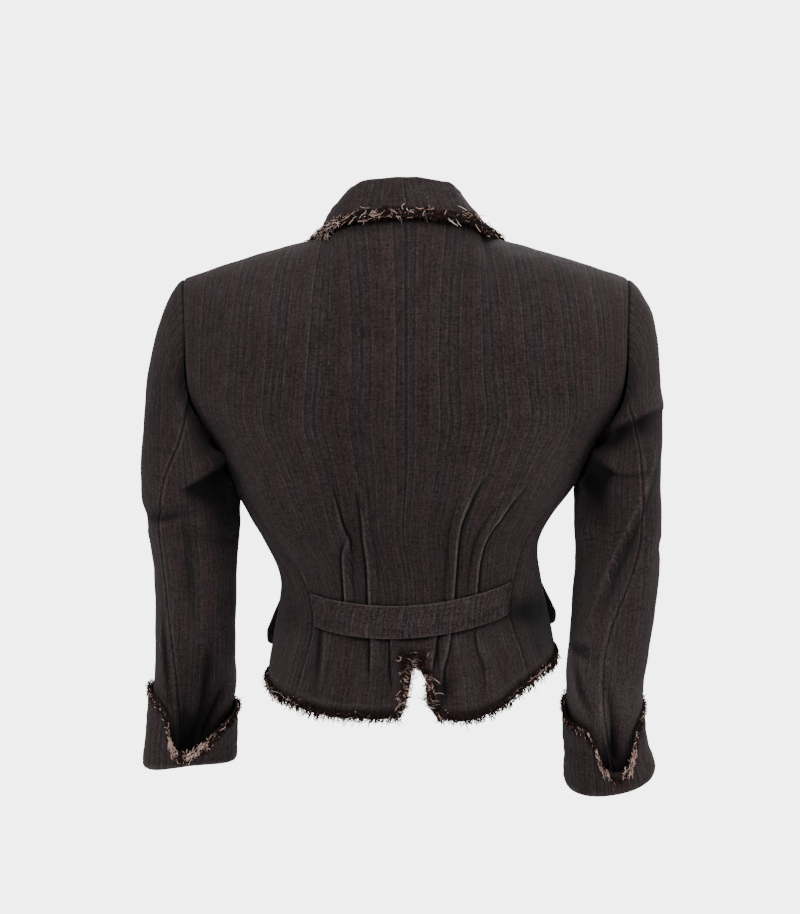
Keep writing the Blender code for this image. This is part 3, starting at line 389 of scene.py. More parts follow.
def away_from_axis(points):
    return points * np.array([1.0, 1.0, 0.0]) + np.array([0.0, 0.0, 1e-4])


def rolled(top, blade, share):
    """Quarter ellipse from a top edge, over the shoulder, down to the blade level."""
    swing = np.sin(share * math.pi / 2)[..., None]
    fall = np.cos(share * math.pi / 2)[..., None]
    roll = np.concatenate([swing**2, swing, 1 - fall], -1)
    return mixed(top, blade, roll)


def shoulder_seam(side, share, y):
    x = mixed(NECK_HALF_WIDTH, SHOULDER_TIP_X, share)
    z = mixed(SHOULDER_NECK_Z, SHOULDER_TIP_Z, share) + SHOULDER_BOW * np.sin(share * math.pi)
    return np.stack([side * x, np.full_like(x, y), z], -1)


def back_top(side, share):
    """Half neckline, then shoulder seam."""
    around = np.minimum(share / NECK_SHARE, 1.0) * math.pi / 2
    seam = shoulder_seam(side, np.clip((share - NECK_SHARE) / (1 - NECK_SHARE), 0.0, 1.0), SEAM_GAP / 2)
    neck = np.stack(
        [
            side * NECK_HALF_WIDTH * np.sin(around),
            NECK_BACK_DEPTH * np.cos(around) + SEAM_GAP / 2,
            mixed(SHOULDER_NECK_Z, NECK_RISE, np.cos(around)),
        ],
        -1,
    )
    return np.where((share < NECK_SHARE)[..., None], neck, seam)


def drop_of(down, hem_angle):
    share = np.clip((down - BLADE_SHARE) / (1 - BLADE_SHARE), 0.0, 1.0)
    return mixed(BLADE_DROP, HEM.at("drop", hem_angle), share)


def down_at(drop, hem_angle):
    """Share down a back or front at a drop below the blades, where its hem lies at an angle."""
    below = (drop - BLADE_DROP) / (HEM.at("drop", hem_angle) - BLADE_DROP)
    return mixed(BLADE_SHARE, 1.0, below)


def back_surface(side, across, down):
    """Back from the centre seam (0) to the armhole and side-back seam (1), from neck and shoulder to hem."""
    drop = drop_of(down, side * across * SEAMS.at("side_back", HEM_LEVEL))
    width = TORSO.at("half_width", drop)
    across = mixed(CENTRE_GAP / width, 1.0, across)
    start = np.degrees(np.arcsin(VENT.at("left" if side > 0 else "right", drop) / width))
    angle = across * SEAMS.at("side_back", drop)
    angle = np.where(start > VENT_LEAST, np.maximum(angle, start + VENT_RIM * angle), angle)
    lower = torso(side * angle, drop)
    upper = rolled(back_top(side, across), lower, np.minimum(down / BLADE_SHARE, 1.0))
    return np.where((down < BLADE_SHARE)[..., None], upper, lower)


def back_relief(side, across, down):
    """Height of the tucks and of the soft flutes that they open into."""
    drop = drop_of(down, side * across * SEAMS.at("side_back", HEM_LEVEL))
    width = TORSO.at("half_width", drop) * np.sin(np.radians(SEAMS.at("side_back", drop)))
    relief = np.zeros_like(drop)
    for share in TUCK_SHARES:
        off = (across - share) * width / TUCKS.at("half_width", drop)
        relief = relief + TUCKS.at("height", drop) * bump(off)
    return np.where(down < BLADE_SHARE, 0.0, relief)


def side_surface(side, across, down):
    """Side body from the side-back seam (0) to the side seam (1), from the armpit to the hem."""
    top = mixed(ARMPIT_BACK_DROP, ARMPIT_DROP, np.sin(across * math.pi / 2))
    hem = HEM.at("drop", side * mixed(SEAMS.at("side_back", HEM_LEVEL), SEAMS.at("side", HEM_LEVEL), across))
    drop = mixed(top, hem, down)
    angle = mixed(SEAMS.at("side_back", drop), SEAMS.at("side", drop), across)
    return torso(side * angle, drop)


def front_angle(across, drop):
    return mixed(SEAMS.at("front_edge", drop), SEAMS.at("side", drop), across)


def front_surface(side, across, down):
    """Front from its edge and roll line (0) to the armhole and side seam (1), from shoulder to hem."""
    hem_angle = front_angle(across, np.full_like(down, HEM_LEVEL))
    drop = drop_of(down, side * hem_angle)
    angle = front_angle(across, drop)
    lower = torso(side * angle, drop)
    top = shoulder_seam(side, across, -SEAM_GAP / 2)
    upper = rolled(top, lower, np.minimum(down / BLADE_SHARE, 1.0))
    points = np.where((down < BLADE_SHARE)[..., None], upper, lower)
    lift = OVERLAP_LIFT * ease(*OVERLAP_ANGLES, angle) * ease(OVERLAP_START, BLADE_SHARE, down) * (side < 0)
    return points + np.array([0.0, -1.0, 0.0]) * lift[..., None]


def lifted(points, distance):
    normals = grid_normals(points, away_from_axis(points))
    return points + normals * np.asarray(distance)[..., None]


def shoulder_out(points):
    """Outward directions on the upper body, where a panel turns over the shoulder."""
    return points - np.array([0.0, 0.0, -CHEST_MIDDLE_DROP])


def sleeve_table(name):
    rows = SLEEVE_ROWS[name]
    return Table(("along",) + SLEEVE_NAMES, *((i / (len(rows) - 1),) + row for i, row in enumerate(rows)))


def ring_point(table, along, turn):
    """Point of a sleeve ring: turn 0 is its outer edge, 90 its back and 180 its inner edge."""
    turn = np.radians(turn)
    swell = 1 + SLEEVE_SQUARE * np.sin(2 * turn) ** 2
    outer_x, outer_drop, inner_x, inner_drop, middle_y, half_depth, nod = (
        table.at(name, along) for name in SLEEVE_NAMES
    )
    out = (1 + np.cos(turn) * swell) / 2
    depth = half_depth * np.sin(turn) * swell
    height = -mixed(inner_drop, outer_drop, out) - nod * depth
    return np.stack([mixed(inner_x, outer_x, out), middle_y + depth, height], -1)


def ring_middle(table, along):
    return (ring_point(table, along, 0 * along) + ring_point(table, along, 0 * along + 180.0)) / 2


def armhole_loop(table):
    """Armhole edge of the left body, as rising turns and the points there."""
    one = np.ones(LINE_POINTS)
    back_end = down_at(ARMPIT_BACK_DROP, SEAMS.at("side_back", HEM_LEVEL))
    front_end = down_at(ARMPIT_DROP, SEAMS.at("side", HEM_LEVEL))
    back = back_surface(1, one, np.linspace(0.0, back_end, LINE_POINTS))
    under = side_surface(1, np.linspace(0.0, 1.0, LINE_POINTS), 0 * one)
    front = front_surface(1, one, np.linspace(front_end, 0.0, LINE_POINTS))
    points = np.concatenate([back, under[2:-2], front])
    outer, inner = ring_point(table, 0.0, 0.0), ring_point(table, 0.0, 180.0)
    middle, axis = (outer + inner) / 2, (outer - inner) / 2
    out = (points - middle) @ axis / (axis @ axis)
    aside = (points[:, 1] - middle[1]) / table.at("half_depth", 0.0)
    turns = np.degrees(np.unwrap(np.arctan2(aside, out)))
    keep = np.concatenate([[True], np.diff(np.maximum.accumulate(turns)) > 1e-6])
    return turns[keep], points[keep]


def sleeve_surface(name, along, turn):
    """Sleeve from the armhole (0) to its end (1), on the left or mirrored to the right."""
    table = sleeve_table(name)
    turns, loop = armhole_loop(table)
    wrapped = np.mod(turn - turns[0], 360.0) + turns[0]
    turns = np.append(turns, turns[0] + 360.0)
    loop = np.concatenate([loop, loop[:1]])
    on_loop = np.stack([np.interp(wrapped, turns, loop[:, i]) for i in range(3)], -1)
    weight = (1 - ease(0.0, CAP_SHARE, along))[..., None]
    first = ring_point(table, 0 * along, turn)
    inward = unit(ring_middle(table, 0 * along) - first)
    under = ease(*CAP_TURNS, np.abs(np.mod(turn + 180.0, 360.0) - 180.0))[..., None]
    parted = np.array([CAP_STEP_OUT, 0.0, 0.0]) + inward * CAP_STEP_IN * under
    points = ring_point(table, along, turn) + weight * (on_loop + parted - first)
    return points * np.array([1.0 if name == "left" else -1.0, 1.0, 1.0])


def sleeve_relief(name, along, turn):
    """Height of the large folds, each a ridge or dip between two places on the sleeve laid flat."""
    flat = np.stack([np.radians(turn) * SLEEVE_RADIUS, along * SLEEVE_LENGTH], -1)
    relief = np.zeros_like(along)
    for turn_a, along_a, turn_b, along_b, half_width, height in SLEEVE_FOLDS[name]:
        start = np.array([math.radians(turn_a) * SLEEVE_RADIUS, along_a * SLEEVE_LENGTH])
        run = np.array([math.radians(turn_b) * SLEEVE_RADIUS, along_b * SLEEVE_LENGTH]) - start
        part = (flat - start) @ run / (run @ run)
        off = np.linalg.norm(flat - start - part[..., None] * run, axis=-1)
        relief = relief + height * bump(off / half_width) * near(part, 0.5, FOLD_REACH)
    return relief


def sleeve_out(name, points, along):
    """Directions from the middle of each ring out to its points."""
    sign = 1.0 if name == "left" else -1.0
    return unit(points - ring_middle(sleeve_table(name), along) * np.array([sign, 1.0, 1.0]))


def cuff_height(name, turn):
    """Height of a cuff above the sleeve's end: round its notch behind, and plain before."""
    out = np.cos(np.radians(turn))
    edge = CUFF_EDGE[name]
    inner, outer = edge.at("height", np.array([-1.0, 1.0]))
    behind = np.sin(np.radians(turn)) > 0
    return np.where(behind, edge.at("height", out), mixed(inner, outer, (out + 1) / 2))


def neckline(along):
    """Neck edge of the body, from the centre back (0) over the shoulder (0.5) to the collar's end (1)."""
    behind = back_top(1, NECK_SHARE * np.minimum(2 * along, 1.0))
    before = front_surface(1, 0 * along, COLLAR_END_DOWN * np.clip(2 * along - 1, 0.0, 1.0))
    return np.where((along < 0.5)[..., None], behind, before)


def collar_surface(along, over):
    """Collar from one front end (-1) over the centre back (0) to the other (1), from seam to outer edge."""
    far = np.abs(along)
    sign = np.where(along < 0, -1.0, 1.0)

    def station(part):
        knots = np.concatenate([-COLLAR.key[:0:-1], COLLAR.key])
        found = []
        for axis, mirror in (("x", -1), ("y", 1), ("z", 1)):
            values = COLLAR.columns[f"{part}_{axis}"]
            values = np.concatenate([mirror * values[:0:-1], values])
            found.append(smooth_through(knots, values, far))
        return np.stack(found, -1)

    seam, roll, edge = neckline(far), station("roll"), station("edge")
    seam = seam + unit(shoulder_out(seam)) * COLLAR_SEAM_LIFT
    out = unit(edge - seam - np.array([0, 0, 1.0]) * (edge - seam)[..., 2:])
    rise = roll - (seam + edge) / 2
    up = unit(rise - out * np.sum(rise * out, -1, keepdims=True))
    middle = roll - up * COLLAR_FOLD_RADIUS
    stand = np.clip(over / COLLAR_STAND_SHARE, 0, 1)[..., None]
    turn = np.clip((over - COLLAR_STAND_SHARE) / COLLAR_FOLD_SHARE, 0, 1)[..., None] * math.pi
    fall_start = COLLAR_STAND_SHARE + COLLAR_FOLD_SHARE
    fall = np.clip((over - fall_start) / (1 - fall_start), 0, 1)[..., None]
    inner = middle - out * COLLAR_FOLD_RADIUS
    outer = middle + out * COLLAR_FOLD_RADIUS
    bow = unit(np.cross(unit(edge - outer), np.cross(up, out))) * COLLAR_BOW * 4 * fall * (1 - fall)
    bow = np.where(np.sum(bow * (out + up), -1, keepdims=True) < 0, -bow, bow)
    fold = middle + COLLAR_FOLD_RADIUS * (up * np.sin(turn) - out * np.cos(turn))
    over_fold = np.where(fall > 0, mixed(outer, edge, fall) + bow, fold)
    points = np.where(stand < 1, mixed(seam, inner, stand), over_fold)
    return points * np.stack([sign, np.ones_like(sign), np.ones_like(sign)], -1)


def resampled(line, count):
    """A line of points, made even along its length."""
    steps = np.concatenate([[0.0], np.cumsum(np.linalg.norm(np.diff(line[:, :3], axis=0), axis=1))])
    places = np.linspace(0.0, steps[-1], count)
    return np.stack([np.interp(places, steps, line[:, i]) for i in range(line.shape[1])], -1)


def lapel_points(side, across, part):
    """Lapel from the roll line (0) to its outer edge (1), from the slanted notch edge to where it closes."""
    down = mixed(mixed(*LAPEL_TOP, across), LAPEL_END, part)
    points = front_surface(side, across * LAPEL.at("width", part), down)
    lift = mixed(LAPEL_LIFT_ROLL, LAPEL_LIFT_EDGE, across) + 4 * across * (1 - across) * (
        LAPEL_LIFT_MIDDLE - (LAPEL_LIFT_ROLL + LAPEL_LIFT_EDGE) / 2
    )
    normals = grid_normals(points, shoulder_out(points))
    return points + normals * lift[..., None]


def belt_points(across, down):
    drop = mixed(BELT_TOP_DROP, BELT_BOTTOM_DROP, down) - BELT_END_RISE * across**2
    points = torso(across * SEAMS.at("side_back", drop), drop)
    return lifted(points, np.full_like(drop, BELT_LIFT))


def flap_points(side, across, down):
    """Pocket flap with rounded lower corners, standing off the front along its lower edge."""
    corner = 1 - FLAP_CORNER * np.abs(2 * across - 1) ** FLAP_CORNER_POWER
    drop = FLAP_TOP_DROP + FLAP_DEPTH * corner * down
    points = torso(side * mixed(*FLAP_ANGLES, across), drop)
    return lifted(points, mixed(FLAP_LIFT_TOP, FLAP_LIFT_EDGE, down))


def cuff_points(name, turn, up):
    along = 1.0 - up * cuff_height(name, turn) / SLEEVE_LENGTH
    points = sleeve_surface(name, along, turn)
    normals = grid_normals(points, sleeve_out(name, points, along))
    return points + normals * mixed(CUFF_LIFT_BOTTOM, CUFF_LIFT_TOP, up)[..., None]


def cuff_turns(name, count):
    return math.degrees(math.acos(CUFF_NOTCH_PLACE[name])) + np.linspace(0.0, 360.0, count)


# Fine grids: columns and rows of points on each piece
FINE = {
    "back": (120, 190), "side": (32, 96), "front": (50, 110), "lapel": (32, 56), "flap": (36, 24),
    "belt": (160, 20), "upper_sleeve": (72, 150), "under_sleeve": (66, 150), "cuff": (150, 32),
    "collar": (190, 48),
}
# Where a grid is drawn closer, as shares of it and the part of its lines that lie there
CLOSER = {"back": (0.3, 0.74, 0.62)}
CLOSER_ROWS = {"upper_sleeve": (0.12, 0.55, 0.62), "under_sleeve": (0.12, 0.55, 0.62)}
SMOOTHING = 40
STRIPE_GATHER = 0.45
BLADE_WIDTH = 0.19

# Where the grain starts on each piece, and how much closer its stripes lie
GRAIN_START = {"back": 0.0075, "side": 0.1, "front": 0.02, "lapel": 0.05, "flap": 0.3}
BELT_STRIPES = 1.15
SLEEVE_STRIPES = 1.1

# Slow unevenness of each piece: height, size and seed
UNEVEN_WAVES = 8
UNEVEN = {
    "back": ((0.0006, 0.085, 3), (0.00035, 0.03, 5)),
    "side": ((0.001, 0.085, 3), (0.0004, 0.03, 5)),
    "front": ((0.0006, 0.085, 3),),
    "lapel": ((0.0005, 0.05, 6),),
    "flap": ((0.0003, 0.03, 8),),
    "belt": ((0.0003, 0.02, 9),),
    "sleeve": ((0.001, 0.06, 3), (0.0004, 0.025, 5)),
    "cuff": ((0.0008, 0.04, 10), (0.0004, 0.015, 11)),
    "cuff_foot": ((0.2, 0.012, 12),),
    "collar": ((0.0008, 0.035, 18), (0.0005, 0.016, 19)),
    "collar_roll": ((0.0005, 0.03, 20),),
}

# Seams and edges: a lift, a rubbed line, and darkness that is painted shade in seam grooves and stitched
# rows and where one piece laps another
FLAP_INSET = 0.0055
EDGES = {
    "centre_left": Edge(lift=(-0.00025, 0.0, 0.0011), dark=(0.32, 0.0, 0.0007)),
    "centre_right": Edge((-0.00025, 0.0, 0.0011), (0.16, 0.002, 0.0014), (0.32, 0.0, 0.0007)),
    "armhole": Edge((-0.0018, 0.0, 0.0032), (0.3, 0.003, 0.002), (1.0, 0.0, 0.0018)),
    "side_back": Edge((0.0007, 0.0008, 0.003), (0.5, 0.0009, 0.0011)),
    "shoulder": Edge((-0.0006, 0.0, 0.002)),
    "side_lap": Edge(lift=(-0.0006, 0.0, 0.004), dark=(0.9, 0.0, 0.0042)),
    "side_front": Edge((-0.0007, 0.0, 0.0018), (0.3, 0.0026, 0.002), (0.5, 0.0, 0.0014)),
    "side_top": Edge(lift=(-0.0014, 0.0, 0.003), dark=(0.8, 0.0, 0.002)),
    "front_side": Edge((-0.0009, 0.0, 0.002), (0.45, 0.0026, 0.002), (0.8, 0.0, 0.0014)),
    "front_edge": Edge(rub_and_painted_light=(0.35, 0.0, 0.002)),
    "lapel_roll": Edge(rub_and_painted_light=(0.5, 0.0, 0.002)),
    "lapel_top": Edge(rub_and_painted_light=(0.35, 0.0, 0.0018)),
    "flap_edge": Edge(rub_and_painted_light=(0.7, 0.0, 0.0016)),
    "flap_row": Edge(lift=(-0.0003, FLAP_INSET, 0.0016), dark=(0.3, FLAP_INSET, 0.0012)),
    "flap_top": Edge(dark=(0.5, 0.0, 0.0015)),
    "belt_rim": Edge(lift=(-0.0005, 0.0, 0.0012)),
    # The belt's top edge: rubbed pale, and brighter than its foot as a painted highlight
    "belt_top": Edge(rub_and_painted_light=(1.0, 0.0, 0.0016)),
    "belt_foot": Edge(rub_and_painted_light=(0.55, 0.0, 0.0015)),
    "belt_row": Edge(lift=(-0.0004, 0.0, 0.0015), dark=(0.45, 0.0, 0.0011)),
    "sleeve_seam": Edge((-0.0008, 0.0, 0.0018), (0.6, 0.0024, 0.0018), (0.9, 0.0, 0.0014)),
    "sleeve_top": Edge(lift=(-0.0012, 0.0, 0.003), dark=(1.0, 0.0, 0.0018)),
}
HEM_RUB = 0.3
HEM_RUB_AT = (0.0118, 0.0016)
HEM_DARK = 0.75
HEM_ROOTS = (0.0055, 0.01)

# Small pulls beside a stitched seam: pitch, height, reach, then how their pitch and height wander
PUCKER_PITCH = 0.0065
PUCKER_HEIGHT = 0.00035
PUCKER_REACH = 0.006
PUCKER_WANDER = ((1.4, 0.031), (0.8, 0.013))
PUCKER_FADE = 0.021

# Where marks on the backs begin and end, as drops, and how strong they are
VENT_KEPT = (0.353, 0.366)
CENTRE_OPENS = (0.345, 0.353)
ARMHOLE_ENDS = (ARMPIT_BACK_DROP - 0.01, ARMPIT_BACK_DROP + 0.01)
UNDER_BELT_TOP = (0.32, 0.325)
UNDER_BELT_FOOT = (0.35, 0.353)
BELT_PRESS = 0.75
# Painted shade on the backs along the belt's top and foot: strength, then drop and half width of each
BELT_SHADE = 0.7
BELT_SHADE_TOP = (BELT_TOP_DROP - 0.0004, 0.003)
BELT_SHADE_FOOT = (BELT_BOTTOM_DROP + 0.0006, 0.003)
FLUTES = (0.352, 0.372)
FLUTE_SHARE = 0.8
FACING = (-0.05, 0.35)

# Side bodies: columns that lap under the backs, and how far they sink
SIDE_LAP = (-0.07, -0.035)
SIDE_LAP_SINK = 0.0014
SIDE_LAP_EASE = (-0.0022, 0.0)
SIDE_SEEN = (-0.45, 0.05)

# Fronts and lapels: where they grow uneven and creased from the edge, and the reach into the armpit
FRONT_UNEVEN = (0.02, 0.05)
FRONT_CREASED = (0.012, 0.035)
LAPEL_UNEVEN = (0.004, 0.012)
ARMPIT_REACH = 0.0028
ARMPIT_WIDTH = 0.006
ARMPIT_LEVEL = (-0.2, 0.026)

# Belt: its stitched rows, sunken ends and the pulls between its stitches
BELT_ROWS = (0.28, 0.74, 0.83)
BELT_ENDS = (-0.955, 0.975)
BELT_END_SINK = 0.0017
BELT_SUNK = (0.8, 0.95)
BELT_PULL = 0.0046
BELT_PULL_REACH = 0.0045
BELT_PULL_WANDER = ((1.6, 0.011), (0.9, 0.0047))
BELT_PULL_HEIGHT = 0.00022
BELT_PULL_RUB_AND_PAINTED_SHADE = 0.22

# Sleeves and cuffs: shares along a sleeve, and how much each turn shows behind or before
SLEEVE_FOLD_SHARE = 0.75
SLEEVE_BEHIND = (-0.1, 0.35)
SLEEVE_SEEN = (-0.7, -0.15)
SLEEVE_INNER = (0.2, 0.95)
SLEEVE_CREASED = (0.0, 0.05)
SLEEVE_UNEVEN = (0.0, 0.06)
CUFF_DRAWN_IN = 0.006
CUFF_INSIDE = (0.85, 0.95)
# Painted shade inside each cuff: its strength, then the shares along the sleeve where it comes in
CUFF_SHADE = {"left": 1.0, "right": 0.62}
CUFF_SHADED = (0.87, 0.975)
CUFF_SHARE = 0.1
CUFF_WAVE = {"left": 0.0045, "right": 0.0}
CUFF_WAVE_TURN = (100.0, 75.0)
CUFF_FOLD_POINTS = 8
CUFF_FOLD_DEPTH = 0.0022
CUFF_FOLD_FROM = 0.96
CUFF_SMOOTH_FOOT = 0.03
CUFF_FOOT = 0.08
CUFF_FOOT_RUB = 0.45
CUFF_FOOT_RUB_AT = (0.01, 0.05)

# Collar: how its roll leans and its fall fills out, each with its place over the collar and half width
COLLAR_LEAN = 0.0026
COLLAR_LEAN_OVER = (0.42, 0.45)
COLLAR_FULL = (0.005, 0.0014)
COLLAR_FULL_ALONG = (0.12, 0.36)
COLLAR_FULL_OVER = (0.66, 0.3)
COLLAR_WAVE_OVER = (0.4, 0.25)
COLLAR_FALL = (0.3, 0.5)
COLLAR_RUB = 0.45
COLLAR_RUB_OVER = (0.4, 0.07)
COLLAR_DARK = 0.5
COLLAR_DARK_OVER = (0.97, 0.05)

# How creases rub pale and take painted shade: a height that counts as full, then the kinds of crest and the
# painted shade that lies below them
LINE_STEPS = 8
FULL_CREASE = 0.0028
CREST_WIDTH = 0.0013
CRISP = 0.006
CRISP_RUB = 1.1
SOFT_RUB = 0.35
VALLEY_DARK = 0.75
FOOT_DARK = 1.6
FOOT_LEAST = 0.0022
OVERHANG = 0.015
OVERHANG_CREST = 0.003
OVERHANG_RUB = 0.3
OVERHANG_DARK = 1.25
OVERHANG_SHADE = (0.0002, 0.0026)
OVERHANG_FADE = 0.0125

# Pressed waist tucks as seen from behind: the side that the fold edge faces, then x, z and height in mm
TUCK_BAND = 0.0072
TUCK_BAND_END = (0.72, 1.15)
TUCK_EDGE = 0.0011
TUCK_RISE = 1.3
FULL_TUCK = 0.0016
# Rubbed fold edge, then painted shade past the fold edge and at the stitched step: amount, distance and half
# width
TUCK_RUB_AND_PAINTED_SHADE = ((1.3, -0.0004, CREST_WIDTH), (-1.3, 0.0024, 0.0022), (-0.45, -TUCK_BAND, 0.0018))
TUCK_FOLDS = (
    (1, (49.4, -266, 0), (53.7, -279, 2.3), (53.9, -284.4, 2.2), (53.1, -301.4, 1.9), (52.1, -323, 1.5)),
    (
        1, (40.8, -219.3, 0), (39.1, -232.3, 1.2), (37.1, -249.5, 2), (35.4, -268.2, 2.3),
        (32.4, -293.6, 1.9), (31.6, -323, 1.5),
    ),
    (
        -1, (-56, -227, 0), (-52.4, -234.4, 1.4), (-46.1, -251.1, 2.6), (-42.9, -275.7, 2.3),
        (-41.3, -297.1, 1.9), (-39.6, -323, 1.5),
    ),
    (
        -1, (-90, -234, 0), (-84, -241.2, 1.2), (-75.2, -253.1, 2.2), (-65, -273.7, 2.4),
        (-61.2, -297.2, 1.9), (-59.8, -321, 1.5),
    ),
)

# Creases as seen from behind, in mm: reach to the wearer's left or below, reach to the other side,
# then x, z and height along the crease
BACK_CREASES = (
    (
        13, 1.4, (68, -211, 0), (63.1, -227.6, 1.2), (58.5, -242.5, 2.4), (54.7, -255.7, 3.4),
        (49.4, -267.9, 3.2), (49, -276, 0.8),
    ),
    (12, 3, (-70, -206, 0), (-59.3, -220.5, 1.4), (-50, -240, 2), (-46.1, -251.1, 0.6)),
    (12, 3, (-104, -218, 0), (-95.6, -226.4, 1.2), (-80, -246, 2), (-75.2, -253.1, 0.4)),
    (1.5, 10, (29.6, -350, 3.6), (29.2, -365, 3.2), (30.8, -386, 0)),
    (1.6, 8, (12.4, -351, 3.4), (12.2, -373.1, 3), (10.6, -398, 0)),
    (8, 1.6, (-25.4, -350, 3.6), (-22.9, -365, 3.2), (-20.1, -383, 0.4)),
    (7, 1.5, (-37, -350, 4), (-34.3, -365, 4.2), (-30.5, -379, 3.2), (-29.6, -400, 0)),
    (1.6, 10, (-60.6, -349, 1.5), (-63.2, -363.1, 1.4), (-67.6, -378.5, 0.9), (-69, -398, 0)),
    (8, 6, (53, -350, 1.4), (53.6, -369.8, 1.8), (56, -399, 0.4)),
    (5, 8, (69, -348, 1.6), (70.5, -370.7, 1.6), (73.5, -396.2, 0.4)),
    (14.9, 14, (-134.7, -206.6, 0), (-112.2, -232.6, 1.4), (-95.3, -267.5, 0.4)),
    (14, 14.9, (137, -215.3, 0), (114.4, -245.5, 1.4), (92.7, -280.5, 0.4)),
)
FRONT_CREASES = (
    (10, 6, (79, -165, 0), (74, -215, 1.6), (62, -275, 1.1), (60, -320, 0.2)),
    (6, 10, (-83, -160, 0), (-76, -210, 1.8), (-66, -270, 1.2), (-62, -315, 0.2)),
    (5, 8, (16, -244, 0.6), (42, -248, 1.3), (76, -240, 0)),
    (6, 5, (-20, -242, 0.5), (-48, -250, 1.2), (-82, -244, 0)),
    (6, 6, (17, -298, 0.5), (47, -305, 1.2), (84, -296, 0)),
    (5, 7, (-22, -297, 0.5), (-50, -302, 1), (-86, -299, 0)),
    (8, 11, (152, -150, 0), (130, -182, 2), (106, -208, 0.2)),
    (11, 8, (-154, -148, 0), (-129, -176, 2.2), (-108, -211, 0.2)),
    (9, 12, (46, -335, 0.2), (50, -360, 1.6), (56, -388, 2.4)),
    (12, 9, (-52, -338, 0.2), (-56, -362, 1.8), (-64, -385, 2.2)),
)
SLEEVE_FRONT_CREASES = {
    "left": (
        (5, 11, (160, -232, 0.4), (182, -243, 2.6), (218, -238, 0.4)),
        (6, 6, (158, -260, -0.4), (180, -269, -2.6), (208, -261, -0.4)),
        (6, 10, (164, -288, 0.2), (188, -298, 2), (218, -292, 0)),
        (11, 8, (210, -98, 0), (201, -156, 2), (184, -213, 0.5)),
        (8, 10, (196, -322, 0), (188, -364, 2), (183, -408, 0.2)),
        (7, 7, (172, -308, 0), (176, -346, -2), (180, -382, -0.2)),
    ),
    "right": (
        (11, 5, (-158, -226, 0.4), (-184, -238, 2.4), (-216, -244, 0.4)),
        (6, 6, (-160, -256, -0.4), (-186, -264, -2.4), (-210, -268, -0.4)),
        (9, 6, (-156, -284, 0.2), (-180, -292, 2.2), (-212, -302, 0)),
        (8, 11, (-206, -108, 0), (-198, -162, 2.2), (-182, -210, 0.5)),
        (10, 8, (-192, -330, 0), (-186, -372, 2), (-180, -418, 0.2)),
        (7, 7, (-170, -318, 0), (-169, -356, -2.2), (-166, -398, -0.2)),
    ),
}
SLEEVE_CREASES = {
    "left": (
        (
            4.2, 20, (199, -223, 0), (192.6, -219.5, 3), (176.3, -209, 7.5), (165.5, -201, 7),
            (154.5, -195, 5),
        ),
        (5, 8, (233.5, -242.1, -1), (216, -244.4, -1.6), (196, -240, -0.8), (180, -239, 0)),
        (3, 3, (169.5, -224, 0), (161.9, -241.5, 2.2), (155.9, -272.6, 0.4)),
        (6, 3, (193.5, -132.1, 0.4), (195.3, -146.7, 2), (197.8, -171.4, 0)),
        (5, 5, (185.7, -162.1, -0.5), (178.2, -179.8, -2.2), (170.4, -190.6, -1)),
        (8, 8, (192.6, -254.7, -1), (190.7, -294.3, -2.2), (188, -339.1, -0.5)),
        (10, 8, (175.4, -250.3, 0.5), (171.6, -285.9, 2.2), (169.8, -330.5, 0.5)),
        (8, 9, (172.6, -356.6, -0.5), (179.2, -401.7, -5), (189.5, -451.4, -9)),
        (5, 5, (160.8, -393.6, -0.5), (168.3, -415.6, -4), (177.2, -440.2, -5)),
        (6, 3, (218.5, -322, 0), (216.2, -366.6, 1.8), (212.7, -411.6, 0.8)),
    ),
    "right": (
        (
            5, 18, (-173.4, -177.1, 2), (-184.6, -169.4, 4), (-197.4, -161, 4.2), (-209.1, -155.4, 3.4),
            (-227.2, -149, 1),
        ),
        (4.2, 15, (-168.2, -194.2, 3), (-175.2, -200.2, 5), (-186.9, -210, 1)),
        (
            14.9, 6.2, (-219, -185, 0), (-214.9, -201.8, 2.4), (-206.6, -226.8, 3.4), (-191.5, -265.1, 4),
            (-177.3, -300.8, 4.4), (-164.5, -338.9, 3.6), (-156, -356, 0.5),
        ),
        (
            12, 5.2, (-221.5, -180, 0), (-215.5, -201.8, 0.9), (-207.2, -226.8, 1.1),
            (-192.1, -265.1, 1.1), (-177.9, -300.8, 1), (-165.1, -338.9, 0.2),
        ),
        (5, 4, (-147.3, -370.3, 0.5), (-152.9, -401.9, 2.2), (-163.7, -427.9, 0.5)),
        (4, 4, (-174.9, -206.4, -1), (-195.9, -212.5, -2), (-219.1, -208.2, -0.6)),
        (4, 5, (-149.3, -361.8, -1), (-156.5, -363.5, -2.6), (-166.6, -370.1, -0.6)),
        (12, 10, (-209.6, -241.8, 0), (-212.1, -294.8, 1.6), (-207.4, -357.2, 0)),
        (6, 7, (-171.9, -374.6, 0), (-181.9, -418.1, -3), (-188.5, -465, -6)),
    ),
}
